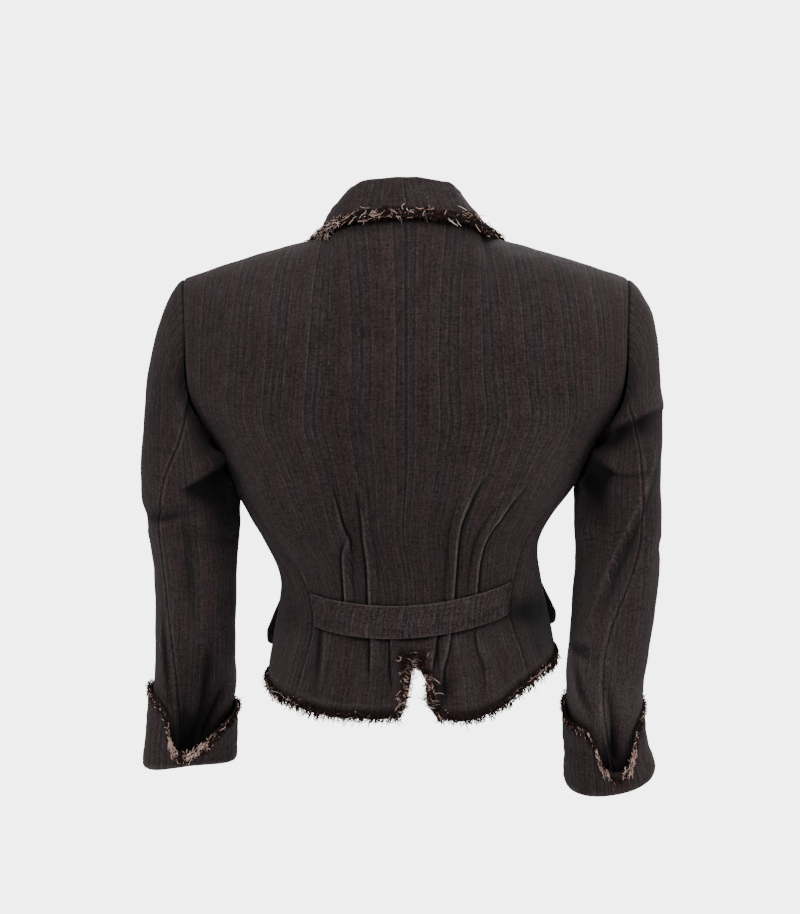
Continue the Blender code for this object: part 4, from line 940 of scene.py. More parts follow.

# Hollows and painted shade under folds: x, z, half width, half height and depth in mm, slant, darkness of
# the painted shade (below 0, painted light)
BODY_HOLLOWS = (
    (-104, -330, 19, 12, 3, 0, 0.9), (-121, -342, 15, 26, 2, 0, 0.75), (99, -335, 12, 12, 2, 0, 0.35),
    (-32.5, -394, 7, 13.5, 1.5, 8, 1), (19, -393, 13, 20, 0, 0, 0.26),
    (-26.3, -361, 2.2, 13, 1.5, -3, 0.95), (32.3, -365, 2, 15, 0.8, 0, 0.65),
    (12.4, -369, 1.8, 16, 0.8, 2, 0.6), (10, -290, 100, 60, 0, 0, 0.14), (30, -185, 70, 60, 0, 0, 0.11),
    (-85, -20, 75, 35, 0, 0, 0.22), (46, -215, 20, 70, 0, 0, 0.09), (-36, -272, 15, 38, 0, 0, 0.15),
    (-125, -195, 28, 60, 0, 0, -0.16),
)
SLEEVE_HOLLOWS = {
    "left": (
        (161, -214, 12, 14, 7, 12, 1.1), (152, -239, 10, 29, 2, 4, 1.2),
        (173.5, -226, 15, 13, 3, 25, 0.7), (166, -250, 13, 26, 1, 8, 0.45),
        (164, -350, 12, 70, 0, 0, 0.15), (186, -396, 15, 33, 0, 0, 0.36),
        (195, -156, 12, 17, 0, 0, -0.28), (218, -158, 11, 20, 0, 0, 0.22),
        (196, -442, 8.5, 36, 5, -8, 1.3), (175.5, -430, 5, 30, 3, 14, 1),
    ),
    "right": (
        (-162, -213, 10.5, 16, 7, -20, 1.15), (-168, -235, 12, 26, 3, -10, 0.75),
        (-202.5, -266, 7.5, 48, 0.8, 22, 0.42), (-212, -110, 20, 60, 0, 0, -0.18),
        (-148, -360, 18, 80, 0, 0, -0.75), (-180, -420, 28, 42, 0, 0, -0.55),
        (-180, -180, 18, 8.5, 3, -25, 0.45), (-205.5, -167, 9, 10, 2, -25, 0.6),
        (-185, -456, 11, 30, 4, 6, 0.8),
    ),
}

# Where a sleeve's inner side lies on the body: height, reach and amount
SLEEVE_LEAN = {"left": (-0.22, 0.028, 0.0042), "right": (-0.204, 0.032, 0.0062)}

# Yarns of each kind of edge: a brush of ends, curled ends and freed yarns
YARN_ENDS = {
    "hem": (
        Ends(4.4, 0.009, 0.009, 0.3, 0.7, 0.0003, 0.00048, 0.14, 0.85),
        Ends(0.7, 0.008, 0.0055, 0.8, 2.2, 0.00018, 0.00028, 1.4, 0.95),
        Freed(0.26, 0.01, 0.042, 0.0008),
    ),
    "vent": (
        Ends(8, 0.008, 0.0085, 1, 1.9, 0.00017, 0.00032, 0.3, 0.7),
        Ends(3.2, 0.0078, 0.008, 1.1, 2.2, 0.00018, 0.0003, 0.9, 1),
        Freed(0.4, 0.004, 0.014, 0.0013),
    ),
    "cuff": (
        Ends(5.4, 0.0058, 0.0092, 1, 1.8, 0.00026, 0.00042, 0.9, 0.82),
        Ends(1.2, 0.0062, 0.0086, 1.1, 2.8, 0.00017, 0.00028, 1, 0.9),
        Freed(0.4, 0.004, 0.012, 0.0012),
    ),
    "edge": (
        Ends(3, 0.0052, 0.005, 0.5, 1.2, 0.00026, 0.0004, 0.3, 0.85),
        Ends(0.8, 0.0066, 0.0045, 0.9, 2.6, 0.00016, 0.00024, 1.4, 0.95),
        Freed(0.4, 0.004, 0.014, 0.0013),
    ),
    "collar": (
        Ends(4.3, 0.0092, 0.0118, 0.5, 1.1, 0.00027, 0.00042, 0.05, 0.9),
        Ends(1.3, 0.012, 0.0112, 0.6, 1.6, 0.00024, 0.00042, 1.7, 1),
        Freed(0.3, 0.004, 0.014, 0.0014),
    ),
}
# Frayed edges: their kind of yarns, a seed, then how pale they are from one end to the other
FRAY = {
    "hem_left": (
        "hem", 112, (0, 0.4), (0.05, 0.1), (0.2, 0.1), (0.28, 0.4), (0.36, 0.36), (0.45, 0.1), (1, 0.14),
    ),
    "hem_right": (
        "hem", 110, (0, 0.26), (0.05, 0.06), (0.27, 0.04), (0.31, 0.6), (0.35, 0.08), (1, 0.14),
    ),
    "vent_left": ("vent", 122, (0, 0.1), (0.2, 0.26), (0.35, 0.52), (1, 0.46)),
    "vent_right": ("vent", 120, (0, 0.1), (0.2, 0.22), (0.45, 0.36), (1, 0.28)),
    "cuff_left": (
        "cuff", 132, (0, 0.05), (0.016, 0.8), (0.07, 0.75), (0.09, 0.3), (0.12, 0.12), (0.3, 0.14),
        (0.85, 0.1), (0.915, 0.14), (0.93, 0.95), (0.975, 0.9), (0.988, 0.1), (1, 0.05),
    ),
    "cuff_right": (
        "cuff", 130, (0, 0.05), (0.014, 0.06), (0.028, 0.5), (0.09, 0.45), (0.12, 0.1), (0.3, 0.12),
        (0.6, 0.14), (0.88, 0.14), (0.9, 0.9), (0.968, 0.85), (0.98, 0.06), (1, 0.05),
    ),
    "lapel_left": ("edge", 142, (0, 0.3), (1, 0.36)),
    "lapel_right": ("edge", 140, (0, 0.36), (1, 0.28)),
    "front_right": ("edge", 151, (0, 0.26), (1, 0.34)),
    "collar": (
        "collar", 161, (0, 0.14), (0.25, 0.06), (0.38, 0.16), (0.5, 0.26), (0.6, 0.34), (0.66, 0.62),
        (0.78, 0.6), (1, 0.18),
    ),
}
# Where a fringe is longer: shares along it and how many times its length
BUSHY = {
    "vent_left": ((0, 1.9), (0.16, 1.6), (0.32, 1), (1, 1)),
    "vent_right": ((0, 1.9), (0.16, 1.6), (0.32, 1), (0.7, 1.1), (0.85, 1.7), (1, 1.7)),
    "collar": ((0, 1), (0.24, 1), (0.32, 1.35), (0.4, 1), (1, 1)),
}
BRUSH_POINTS = 5
CURL_POINTS = 8
LOOP_POINTS = 9
FRAY_POINTS = 500
TUFT = 7
TUFT_LEAN = 0.35
TUFT_STRETCH = (0.75, 1.15)
END_START = (0.1, 1)
END_LIFT = (0.0006, 0.0014)
END_REACH = (0.6, 1.1)
END_TAPER = ((0.0, 0.15, 0.7, 1.0), (0.8, 1.0, 0.95, 0.5))
END_PALE = 0.42
DARK_TONES = (0.0, 0.24)
LOOP_RADIUS = (0.00016, 0.00026)
LOOP_MIDDLE = (0.01, 0.99)
LOOP_TURNS = (1.0, 3.2)
LOOP_WAVE = (0.3, 1.0)
LOOP_ASIDE = (-0.8, 0.3)
LOOP_LIFT = (0.001, 0.0026)
LOOP_OFF_BEAT = 0.83
LOOP_PALE = 0.45
YARN_SIDES = 3
YARN_TILT = (0.31, 0.52, 0.8)

# Which rows and columns of the cloth carry a fringe and lie inside it
VENT_FRAYED = (0.865, 0.995)
VENT_INSIDE = 18
FRONT_FRAYED = (0.42, 0.985)
FRONT_INSIDE = 3
CUFF_TOP_SHARE = 0.9

# Stitches
STITCH_LENGTH = 0.0021
STITCH_PITCH = 0.0031
STITCH_RADIUS = 0.00024
STITCH_SIDES = 4
STITCH_RISE = 0.3
STITCH_HUMP = np.array([0.1, 0.75, 1.0, 0.75, 0.1])
STITCH_TAPER = np.array([0.55, 0.95, 1.0, 0.95, 0.55])
STITCH_TONES = (0.4, 1.0)
STITCH_SEED = 7
BELT_STITCH_INSET = 3
CENTRE_ROW = 0.0016
CENTRE_STITCH_START = 4
CENTRE_STITCH_END = 0.83
FLAP_STITCH_INSET = 4
FLAP_STITCH_FOOT = 0.86

# Buttons: rings and spokes, where the face and the rim end, the dish, the holes and their crossed thread
BUTTON_RINGS = 34
BUTTON_SPOKES = 72
BUTTON_FACE = 0.72
BUTTON_RIM = 0.14
BUTTON_DISH = 0.0009
BUTTON_DISH_END = (0.55, 0.8)
BUTTON_HOLE_AT = 0.001512
BUTTON_HOLE = 0.0008
BUTTON_HOLE_DEPTH = 0.0014
BUTTON_HOLE_END = (0.75, 1.1)
THREAD_ASIDE = (-0.00022, 0.0, 0.00022)
THREAD_POINTS = 9
THREAD_RADIUS = 0.0002
THREAD_SIDES = 5
THREAD_RISE = 0.0005
THREAD_DIVE = 0.0006
THREAD_TONE = 0.5

# Stage and the photograph's camera
EYE = (0.0054, 2.2, -0.195)
FRAME_HEIGHT = 0.8226
SENSOR = 36.0
FLOOR_DROP = 0.86
FLOOR_RADIUS = 1.14
FLOOR_SIDES = 96
FLOOR_COLOUR = (0.92, 0.92, 0.92, 1.0)
WHITE = (1.0, 1.0, 1.0, 1.0)
SKY_LIGHT = 0.45
SKY_SEEN = 5.0
LAMP_AIM = (0.0, 0.0, -0.2)
LAMPS = (
    ("soft key", (0.5, 2.5, 1.6), 1.5, 29.0),
    ("soft right", (-2.3, 1.1, 0.6), 1.2, 33.0),
    ("soft left", (2.2, 1.3, 0.8), 1.2, 23.0),
    ("soft front", (-0.8, -2.4, 1.5), 1.8, 45.0),
    ("soft top", (0.0, 0.2, 2.2), 1.6, 24.0),
)


def spaced(count, closer):
    """Shares from 0 to 1, drawn closer over one stretch where that is given."""
    if closer is None:
        return np.linspace(0.0, 1.0, count)
    start, end, part = closer
    rest = (1 - part) / (1 - end + start)
    lines = [0.0, start * rest, start * rest + part, 1.0]
    return np.interp(np.linspace(0, 1, count), lines, [0.0, start, end, 1.0])


def fine(kind):
    columns, rows = FINE[kind]
    return spaced(columns, CLOSER.get(kind)), spaced(rows, CLOSER_ROWS.get(kind))


def eased_down(points):
    """Points smoothed down the cloth, with its ends kept, so that no knot of a table shows as a bend."""
    points = points.copy()
    for _ in range(SMOOTHING):
        points[1:-1] = (points[:-2] + 2 * points[1:-1] + points[2:]) / 4
    return points


def uneven(points, kind):
    """Slow unevenness of a kind of piece, the same on both sides of a seam."""
    total = np.zeros(points.shape[:-1])
    for amount, size, seed in UNEVEN[kind]:
        drawn = np.random.default_rng(seed)
        for _ in range(UNEVEN_WAVES):
            way = unit(drawn.normal(size=3)) * 2 * math.pi / size * drawn.uniform(0.6, 1.8)
            total = total + amount / 4 * np.sin(points @ way + drawn.uniform(0, 2 * math.pi))
    return total


def runs(points):
    """Distances in metres from a grid's first column, last column, first row and last row."""
    over = np.linalg.norm(np.diff(points, axis=1), axis=-1).cumsum(axis=1)
    over = np.concatenate([np.zeros_like(over[:, :1]), over], 1)
    fall = np.linalg.norm(np.diff(points, axis=0), axis=-1).cumsum(axis=0)
    fall = np.concatenate([np.zeros_like(fall[:1]), fall], 0)
    return over, over[:, -1:] - over, fall, fall[-1:] - fall


def line_length(line):
    return np.linalg.norm(np.diff(line, axis=0), axis=1).sum()


def along_line(points, line):
    """How far points lie from a line seen from behind, plus to the left or below, and the share along it."""
    seen = points[..., [0, 2]]
    nearest = np.full(seen.shape[:-1], math.inf)
    off = np.zeros_like(nearest)
    share = np.zeros_like(nearest)
    for i, start in enumerate(line[:-1]):
        run = line[i + 1] - start
        part = np.clip((seen - start) @ run / (run @ run), 0.0, 1.0)
        gap = seen - start - part[..., None] * run
        distance = np.linalg.norm(gap, axis=-1)
        closer = distance < nearest
        side = np.where(run[0] * gap[..., 1] - run[1] * gap[..., 0] < 0, -1.0, 1.0)
        nearest = np.where(closer, distance, nearest)
        off = np.where(closer, side * distance, off)
        share = np.where(closer, (i + part) / (len(line) - 1), share)
    return off, share


def beside_crease(points, rows):
    """How far points lie from a crease, given in mm at a few places, and its height next to them."""
    rows = np.array(rows) / 1000
    steps = np.concatenate([[0.0], np.cumsum(np.linalg.norm(np.diff(rows[:, :2], axis=0), axis=1))])
    places = np.linspace(0.0, steps[-1], LINE_STEPS * len(rows))
    line = np.stack([smooth_through(steps, rows[:, i], places) for i in range(3)], -1)
    off, share = along_line(points, line[:, :2])
    return off, np.interp(share, np.linspace(0, 1, len(line)), line[:, 2])


def creased(points, creases):
    """Height and marks of creases: a crest rubs pale, valleys and the foot of a steep side take painted
    shade, and an overhang casts a painted shadow.
    """
    height = np.zeros(points.shape[:-1])
    tone_wear_and_painted_shading = np.zeros_like(height)
    for plus, minus, *rows in creases:
        plus, minus = plus / 1000, minus / 1000
        off, tall = beside_crease(points, rows)
        spread = bump(off / np.where(off > 0, plus, minus))
        height += tall * spread
        strength = np.clip(np.abs(tall) / FULL_CREASE, 0, 1)
        steep = min(plus, minus)
        below = off if plus < minus else -off
        # Painted shade in valleys
        tone_wear_and_painted_shading -= VALLEY_DARK * (tall < 0) * strength * spread
        if max(plus, minus) >= OVERHANG:
            crest = OVERHANG_RUB * bump(off / OVERHANG_CREST)
            shade = ease(*OVERHANG_SHADE, below) * np.exp(-np.maximum(below, 0.0) / OVERHANG_FADE)
            # Painted shadow cast below an overhang, fading away from it
            tone_wear_and_painted_shading -= OVERHANG_DARK * strength * shade
        elif steep < CRISP and plus != minus:
            crest = CRISP_RUB * bump(off / CREST_WIDTH)
            # Painted shade at the foot of the steep side
            tone_wear_and_painted_shading -= FOOT_DARK * strength * near(below, steep, max(steep, FOOT_LEAST))
        else:
            crest = SOFT_RUB * bump(off / CREST_WIDTH)
        tone_wear_and_painted_shading += (tall > 0) * strength * crest
    return height, tone_wear_and_painted_shading


def hollowed(points, hollows):
    """Height and painted shade of deep hollows seen from behind, each an oval with its own slant; a darkness
    below 0 paints light.
    """
    height = np.zeros(points.shape[:-1])
    tone_wear_and_painted_shading = np.zeros_like(height)
    for *sizes, slant, dark in hollows:
        x, z, half_width, half_height, depth = np.array(sizes) / 1000
        right, up = points[..., 0] - x, points[..., 2] - z
        turn = math.radians(slant)
        over = (right * math.cos(turn) + up * math.sin(turn)) / half_width
        along = (up * math.cos(turn) - right * math.sin(turn)) / half_height
        spot = np.exp(-(over**2 + along**2))
        height -= depth * spot
        # Painted shade of the hollow; painted light where its darkness is below 0
        tone_wear_and_painted_shading -= dark * spot
    return height, tone_wear_and_painted_shading


def tucked(points):
    """Height, rubbing and painted shade of the pressed waist tucks: a fold edge, a flat band behind it and a
    stitched step.
    """
    height = np.zeros(points.shape[:-1])
    tone_wear_and_painted_shading = np.zeros_like(height)
    for facing, *rows in TUCK_FOLDS:
        off, tall = beside_crease(points, rows)
        off = off * facing
        band = 1 - ease(*TUCK_BAND_END, -off / TUCK_BAND)
        height += TUCK_RISE * tall * band * (1 - ease(0.0, TUCK_EDGE, off))
        strength = np.clip(tall / FULL_TUCK, 0, 1)
        for amount, at, half_width in TUCK_RUB_AND_PAINTED_SHADE:
            tone_wear_and_painted_shading += amount * strength * near(off, at, half_width)
    return height, tone_wear_and_painted_shading


def beside(*edges):
    """Height, rubbed lines and painted shade beside edges, each given by its kind and the distances from it.
    """
    height = sum(EDGES[kind].height(distance) for kind, distance in edges)
    tone_wear_and_painted_shading = sum(EDGES[kind].tone_wear_and_painted_shading(distance) for kind, distance in edges)
    return height, tone_wear_and_painted_shading


def puckers(distance, along, seed):
    """Small pulls that a stitched seam leaves beside it."""
    drawn = np.random.default_rng(seed)
    wander = sum(amount * np.sin(along / pitch + drawn.uniform(0, 6)) for amount, pitch in PUCKER_WANDER)
    wave = np.sin(2 * math.pi * along / PUCKER_PITCH + wander)
    strength = 0.5 + 0.5 * np.sin(along / PUCKER_FADE + drawn.uniform(0, 6))
    return PUCKER_HEIGHT * wave * np.exp(-distance / PUCKER_REACH) * strength


# Meshes

def mesh_of(name, verts, quads, corners, values):
    """Mesh from points and four-sided faces, with the grain at each face's corners and one value a point."""
    mesh = bpy.data.meshes.new(name)
    mesh.vertices.add(len(verts))
    mesh.vertices.foreach_set("co", verts.astype(np.float32).ravel())
    mesh.loops.add(quads.size)
    mesh.loops.foreach_set("vertex_index", quads.astype(np.int32).ravel())
    mesh.polygons.add(len(quads))
    mesh.polygons.foreach_set("loop_start", np.arange(0, quads.size, 4, dtype=np.int32))
    mesh.update(calc_edges=True)
    grain = mesh.uv_layers.new(name="grain")
    grain.data.foreach_set("uv", corners.astype(np.float32).ravel())
    # One value a point: on cloth, rubbing and painted light above 0, and painted shade and a darker hem
    # below 0; on yarn and thread, their tone
    tone_wear_and_painted_shading = mesh.attributes.new("tone_wear_and_painted_shading", "FLOAT", "POINT")
    tone_wear_and_painted_shading.data.foreach_set("value", values.astype(np.float32).ravel())
    mesh.validate()
    return mesh


def placed(name, mesh, finish, slot, *nodes):
    """The piece in the scene: it rides on the part, takes its finish and stands for its nodes."""
    mesh.materials.append(finish)
    mesh.shade_smooth()
    piece = bpy.data.objects.new(name, mesh)
    bpy.context.scene.collection.objects.link(piece)
    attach(piece, "root")
    if nodes:
        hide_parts(*nodes)
    return piece


def corners_of(values):
    """The values at the four corners of each face of a grid, in order round the face."""
    return np.stack([values[:-1, :-1], values[:-1, 1:], values[1:, 1:], values[1:, :-1]], 2)


def rim_of(values):
    """The values round a grid, back to its first corner."""
    return np.concatenate([values[0, :-1], values[:-1, -1], values[-1, :0:-1], values[::-1, 0]])


def shell(label, base, outward, height, grain, tone_wear_and_painted_shading, finish, slot="denim", wall=WALL, ring=False):
    """Cloth wall through a grid raised by its heights; a ring closes its last column on its first."""
    points = base + outward * height[..., None]
    rows, columns = points.shape[:2]
    normals = grid_normals(points, outward)
    if ring:
        normals[:, 0] = normals[:, -1] = unit(normals[:, 0] + normals[:, -1])
    kept = columns - 1 if ring else columns
    layers = [(points + normals * way * wall / 2)[:, :kept].reshape(-1, 3) for way in (1, -1)]
    index = np.arange(rows * kept).reshape(rows, kept)
    if ring:
        index = np.concatenate([index, index[:, :1]], 1)
    outer = corners_of(index).reshape(-1, 4)
    outer_uv = corners_of(grain).reshape(-1, 4, 2)
    loops = [(rim_of(index), rim_of(grain))]
    if ring:
        loops = [(index[0], grain[0]), (index[-1][::-1], grain[-1][::-1])]
    rims, rim_uvs = [], []
    for loop, loop_grain in loops:
        rims.append(np.stack([loop[1:], loop[:-1], loop[:-1] + rows * kept, loop[1:] + rows * kept], -1))
        rim_uvs.append(np.stack([loop_grain[1:], loop_grain[:-1], loop_grain[:-1], loop_grain[1:]], -2))
    quads = np.concatenate([outer, outer[:, ::-1] + rows * kept] + rims)
    corners = np.concatenate([outer_uv, outer_uv[:, ::-1]] + rim_uvs)
    spot = rows // 2 * (columns - 1) + columns // 2
    a, b, c, _ = layers[0][outer[spot]]
    if np.dot(np.cross(b - a, c - a), normals[rows // 2, columns // 2]) < 0:
        quads, corners = quads[:, ::-1], corners[:, ::-1]
    name = f"cloth_{label}"
    mesh = mesh_of(name, np.concatenate(layers), quads, corners, np.tile(tone_wear_and_painted_shading[:, :kept].ravel(), 2))
    piece = placed(name, mesh, finish, slot, label)
    mesh.set_sharp_from_angle(angle=math.radians(75))
    return Cloth(points, outward, piece)


def cut_of(cloth):
    """Works out what width, length and area a piece of cloth was cut to, measured along the cloth; the sizes
    are not kept or shown.
    """
    points = cloth.points
    over, _, fall, _ = runs(points)
    one, two = np.diff(points, axis=1)[:-1], np.diff(points, axis=0)[:, :-1]
    width, length = float(over[:, -1].max()), float(fall[-1].max())
    area = min(float(np.linalg.norm(np.cross(one, two), axis=-1).sum()), width * length)


def tubes(centres, radii, sides):
    """Joined thin tubes: centres is strands by points by xyz, radii strands by points."""
    count, steps = centres.shape[:2]
    run = unit(np.gradient(centres, axis=1))
    across = unit(np.cross(run, YARN_TILT))
    third = np.cross(run, across)
    turn = np.arange(sides) * 2 * math.pi / sides
    ring = across[..., None, :] * np.cos(turn)[:, None] + third[..., None, :] * np.sin(turn)[:, None]
    verts = centres[..., None, :] + ring * radii[..., None, None]
    index = np.arange(count * steps * sides).reshape(count, steps, sides)
    here, there = index[:, :-1], index[:, 1:]
    quads = np.stack([here, np.roll(here, -1, 2), np.roll(there, -1, 2), there], -1).reshape(-1, 4)
    length = np.linalg.norm(np.diff(centres, axis=1), axis=-1).cumsum(axis=1)
    length = np.concatenate([np.zeros((count, 1)), length], 1)
    u = np.broadcast_to(length[..., None], (count, steps, sides))
    v = np.broadcast_to(np.arange(sides) / sides, (count, steps, sides))
    uv = np.stack([u, v], -1).reshape(-1, 2)
    return verts.reshape(-1, 3), quads, uv[quads]


def share_at(rows, share):
    """A value given at shares along an edge, read between them."""
    places, values = np.array(rows).T
    return np.interp(share, places, values)


def edge_at(line, share):
    """Place, outward way, face and run of an edge at shares of its length."""
    places = np.linspace(0.0, 1.0, len(line))
    found = np.stack([np.interp(share, places, line[:, i]) for i in range(line.shape[1])], -1)
    return found[:, :3], unit(found[:, 3:6]), unit(found[:, 6:9]), unit(found[:, 9:12])


def yarn_ends(line, drawn, pale, bushy, total, points, kind):
    """Loose ends that stand off an edge in tufts and curl over, as centres, radii and how pale each is."""
    count = int(kind.density * total * 1000)
    share = (np.arange(count) + drawn.uniform(0, 1, count)) / count
    place, out, face, run = edge_at(line, share)
    light = drawn.uniform(0, 1, count) < kind.paleness * share_at(pale, share)
    tone = np.where(light, drawn.uniform(END_PALE, kind.palest, count), drawn.uniform(*DARK_TONES, count))
    tufts = np.linspace(0, 1, max(count // TUFT, 2))
    lean = np.interp(share, tufts, drawn.normal(0, TUFT_LEAN, len(tufts)))
    stretch = np.interp(share, tufts, drawn.uniform(*TUFT_STRETCH, len(tufts)))
    longer = share_at(bushy, share)
    start = place - out * (kind.inset * drawn.uniform(*END_START, count) * longer)[:, None]
    start = start + face * drawn.uniform(*END_LIFT, count)[:, None]
    step = np.linspace(0, 1, points)[None, :]
    loose = min(kind.spread, 1.0)
    aside = (lean + drawn.normal(0, kind.spread, count))[:, None]
    aside = aside + drawn.normal(0, kind.curl, count)[:, None] * step
    above = drawn.uniform(0.0, 0.4 + 0.6 * loose, count)[:, None]
    above = above + drawn.normal(-0.5 - 0.5 * loose, 0.3 + 0.5 * loose, count)[:, None] * step
    flat = np.cos(above)[..., None]
    way = flat * (np.cos(aside)[..., None] * out[:, None] + np.sin(aside)[..., None] * run[:, None])
    way = way + np.sin(above)[..., None] * face[:, None]
    reach = kind.length * stretch * drawn.uniform(*END_REACH, count) * longer
    centres = start[:, None] + np.cumsum(way, 1) * (reach / points)[:, None, None]
    radii = drawn.uniform(kind.thin, kind.thick, count)
    return centres, radii[:, None] * np.interp(step, *END_TAPER), tone


def yarn_loops(line, drawn, pale, total, kind, loops):
    """Freed yarns that run along an edge in small waves."""
    count = int(loops.density * total * 1000)
    step = np.linspace(-0.5, 0.5, LOOP_POINTS)
    middle = drawn.uniform(*LOOP_MIDDLE, count)
    span = drawn.uniform(loops.shortest, loops.longest, count) / total
    share = np.clip(middle[:, None] + span[:, None] * step, 0.0, 1.0)
    place, out, face, _ = (found.reshape(count, LOOP_POINTS, 3) for found in edge_at(line, share.ravel()))
    turns = drawn.uniform(*LOOP_TURNS, count)[:, None] * step
    phase = 2 * math.pi * (turns + drawn.uniform(0, 1, count)[:, None])
    wave = drawn.uniform(*LOOP_WAVE, count)[:, None] * loops.wave
    inner, outer = LOOP_ASIDE[0] * kind.inset, LOOP_ASIDE[1] * kind.length
    aside = drawn.uniform(inner, outer, count)[:, None] + wave * np.sin(phase)
    above = drawn.uniform(*LOOP_LIFT, count)[:, None] + wave * np.cos(phase * LOOP_OFF_BEAT)
    centres = place + out * aside[..., None] + face * above[..., None]
    light = drawn.uniform(0, 1, count) < kind.paleness * share_at(pale, middle)
    tone = np.where(light, drawn.uniform(LOOP_PALE, kind.palest, count), drawn.uniform(*DARK_TONES, count))
    radii = drawn.uniform(*LOOP_RADIUS, count)
    return centres, np.repeat(radii[:, None], LOOP_POINTS, 1), tone


def frayed(label, edge, inner, outward, finish):
    """Frayed edging of one cloth edge, as one mesh of loose ends and freed yarns."""
    style, seed, *pale = FRAY[label]
    brush, curls, loops = YARN_ENDS[style]
    bushy = BUSHY.get(label, ((0.0, 1.0), (1.0, 1.0)))
    line = resampled(np.concatenate([edge, unit(edge - inner), unit(outward)], 1), FRAY_POINTS)
    total = line_length(line[:, :3])
    line = np.concatenate([line, unit(np.gradient(line[:, :3], axis=0))], 1)
    drawn = np.random.default_rng(seed)
    strands = [
        yarn_ends(line, drawn, pale, bushy, total, BRUSH_POINTS, brush),
        yarn_ends(line, drawn, pale, bushy, total, CURL_POINTS, curls),
        yarn_loops(line, drawn, pale, total, curls, loops),
    ]
    parts = []
    start = 0
    for centres, radii, tone in strands:
        verts, quads, corners = tubes(centres, radii, YARN_SIDES)
        parts.append((verts, quads + start, corners, np.repeat(tone, centres.shape[1] * YARN_SIDES)))
        start += len(verts)
    mesh = mesh_of(f"yarn_{label}", *(np.concatenate(part) for part in zip(*parts)))
    return placed(f"yarn_{label}", mesh, finish, "frayed_yarn", f"fringe_{label}")


def stitch_row(line, face, wall):
    """Stitches along a line of points, as short humped strands on the face of a wall."""
    line = line + face * (wall / 2 + STITCH_RADIUS * STITCH_RISE)
    joined = resampled(np.concatenate([line, face], 1), max(int(line_length(line) / STITCH_PITCH), 2))
    place, up = joined[:, :3], unit(joined[:, 3:6])
    run = unit(np.gradient(place, axis=0))
    step = np.linspace(-0.5, 0.5, len(STITCH_HUMP))[None, :, None]
    hump = STITCH_HUMP[None, :, None] * STITCH_RADIUS
    return place[:, None] + run[:, None] * step * STITCH_LENGTH + up[:, None] * hump


def stitching(name, rows, finish, slot):
    centres = np.concatenate(rows)
    radii = np.tile(STITCH_TAPER * STITCH_RADIUS, (len(centres), 1))
    verts, quads, corners = tubes(centres, radii, STITCH_SIDES)
    tone = np.random.default_rng(STITCH_SEED).uniform(*STITCH_TONES, len(centres))
    mesh = mesh_of(name, verts, quads, corners, np.repeat(tone, len(STITCH_HUMP) * STITCH_SIDES))
    placed(name, mesh, finish, slot)


# Finishes

def maths(operation, turned=False):
    """A method that makes the node of one operation, with the other value first where it is turned."""

    def method(value, *others):
        parts = (*others, value) if turned else (value, *others)
        return value.nodes.value("ShaderNodeMath", {"operation": operation}, dict(enumerate(parts)))

    return method


class Value:
    """A socket in a tree of nodes, so that its sums are written as Python."""

    __add__ = maths("ADD")
    __radd__ = maths("ADD", True)
    __sub__ = maths("SUBTRACT")
    __rsub__ = maths("SUBTRACT", True)
    __mul__ = maths("MULTIPLY")
    __truediv__ = maths("DIVIDE")
    __abs__ = maths("ABSOLUTE")
    sine = maths("SINE")
    part = maths("FRACT")
    over = maths("MAXIMUM")
    under = maths("MINIMUM")

    def __init__(self, nodes, socket):
        self.nodes = nodes
        self.socket = socket

    def share(self):
        return self.over(0.0).under(1.0)


class Nodes:
    """A tree of shader nodes, which are all made by one method."""

    def __init__(self, tree):
        self.tree = tree

    def node(self, kind, settings, sockets):
        node = self.tree.nodes.new(kind)
        for name, setting in settings.items():
            setattr(node, name, setting)
        self.feed(node, sockets)
        return node

    def feed(self, node, sockets):
        for name, value in sockets.items():
            if isinstance(value, Value):
                self.tree.links.new(value.socket, node.inputs[name])
            else:
                node.inputs[name].default_value = value

    def value(self, kind, settings, sockets, output=0):
        return Value(self, self.node(kind, settings, sockets).outputs[output])


class Finish(Nodes):
    """A procedural material that reads the grain of a piece and its value at each point: tone, rubbing,
    painted shade and painted light.
    """

    def __init__(self, name):
        self.material = bpy.data.materials.new(name)
        self.material.use_nodes = True
        super().__init__(self.material.node_tree)

    def shaded(self, sockets):
        self.feed(self.tree.nodes["Principled BSDF"], sockets)
        return self.material

    def grain(self):
        grain = self.value("ShaderNodeUVMap", {"uv_map": "grain"}, {})
        parts = self.node("ShaderNodeSeparateXYZ", {}, {0: grain})
        return Value(self, parts.outputs[0]), Value(self, parts.outputs[1])

    def tone_wear_and_painted_shading(self):
        return self.value("ShaderNodeAttribute", {"attribute_name": "tone_wear_and_painted_shading"}, {}, "Fac")

    def noise(self, across, along, start, detail=2.0):
        """Noise from about 0 to 1 that repeats about once for each unit across and along."""
        place = self.value("ShaderNodeCombineXYZ", {}, {0: across, 1: along, 2: start})
        sockets = {"Vector": place, "Scale": 1.0, "Detail": detail}
        return self.value("ShaderNodeTexNoise", {"noise_dimensions": "3D"}, sockets)

    def between(self, a, b, share):
        return self.value("ShaderNodeMix", {"data_type": "RGBA"}, {0: share, 6: a, 7: b}, 2)

    def scaled(self, colour, amount):
        return self.value("ShaderNodeVectorMath", {"operation": "SCALE"}, {0: colour, 3: amount})

    def bumped(self, height, strength, distance):
        sockets = {"Strength": strength, "Distance": distance, "Height": height}
        return self.value("ShaderNodeBump", {}, sockets)

    def ply(self, along, around, turns):
        """Light and dark of a twisted thread, from 0 to 1, following the rise of its plies; colour scaled by
        it is painted shade in the grooves.
        """
        return ((along * turns + around * (2 * math.pi)).sine() + 1.0) * 0.5


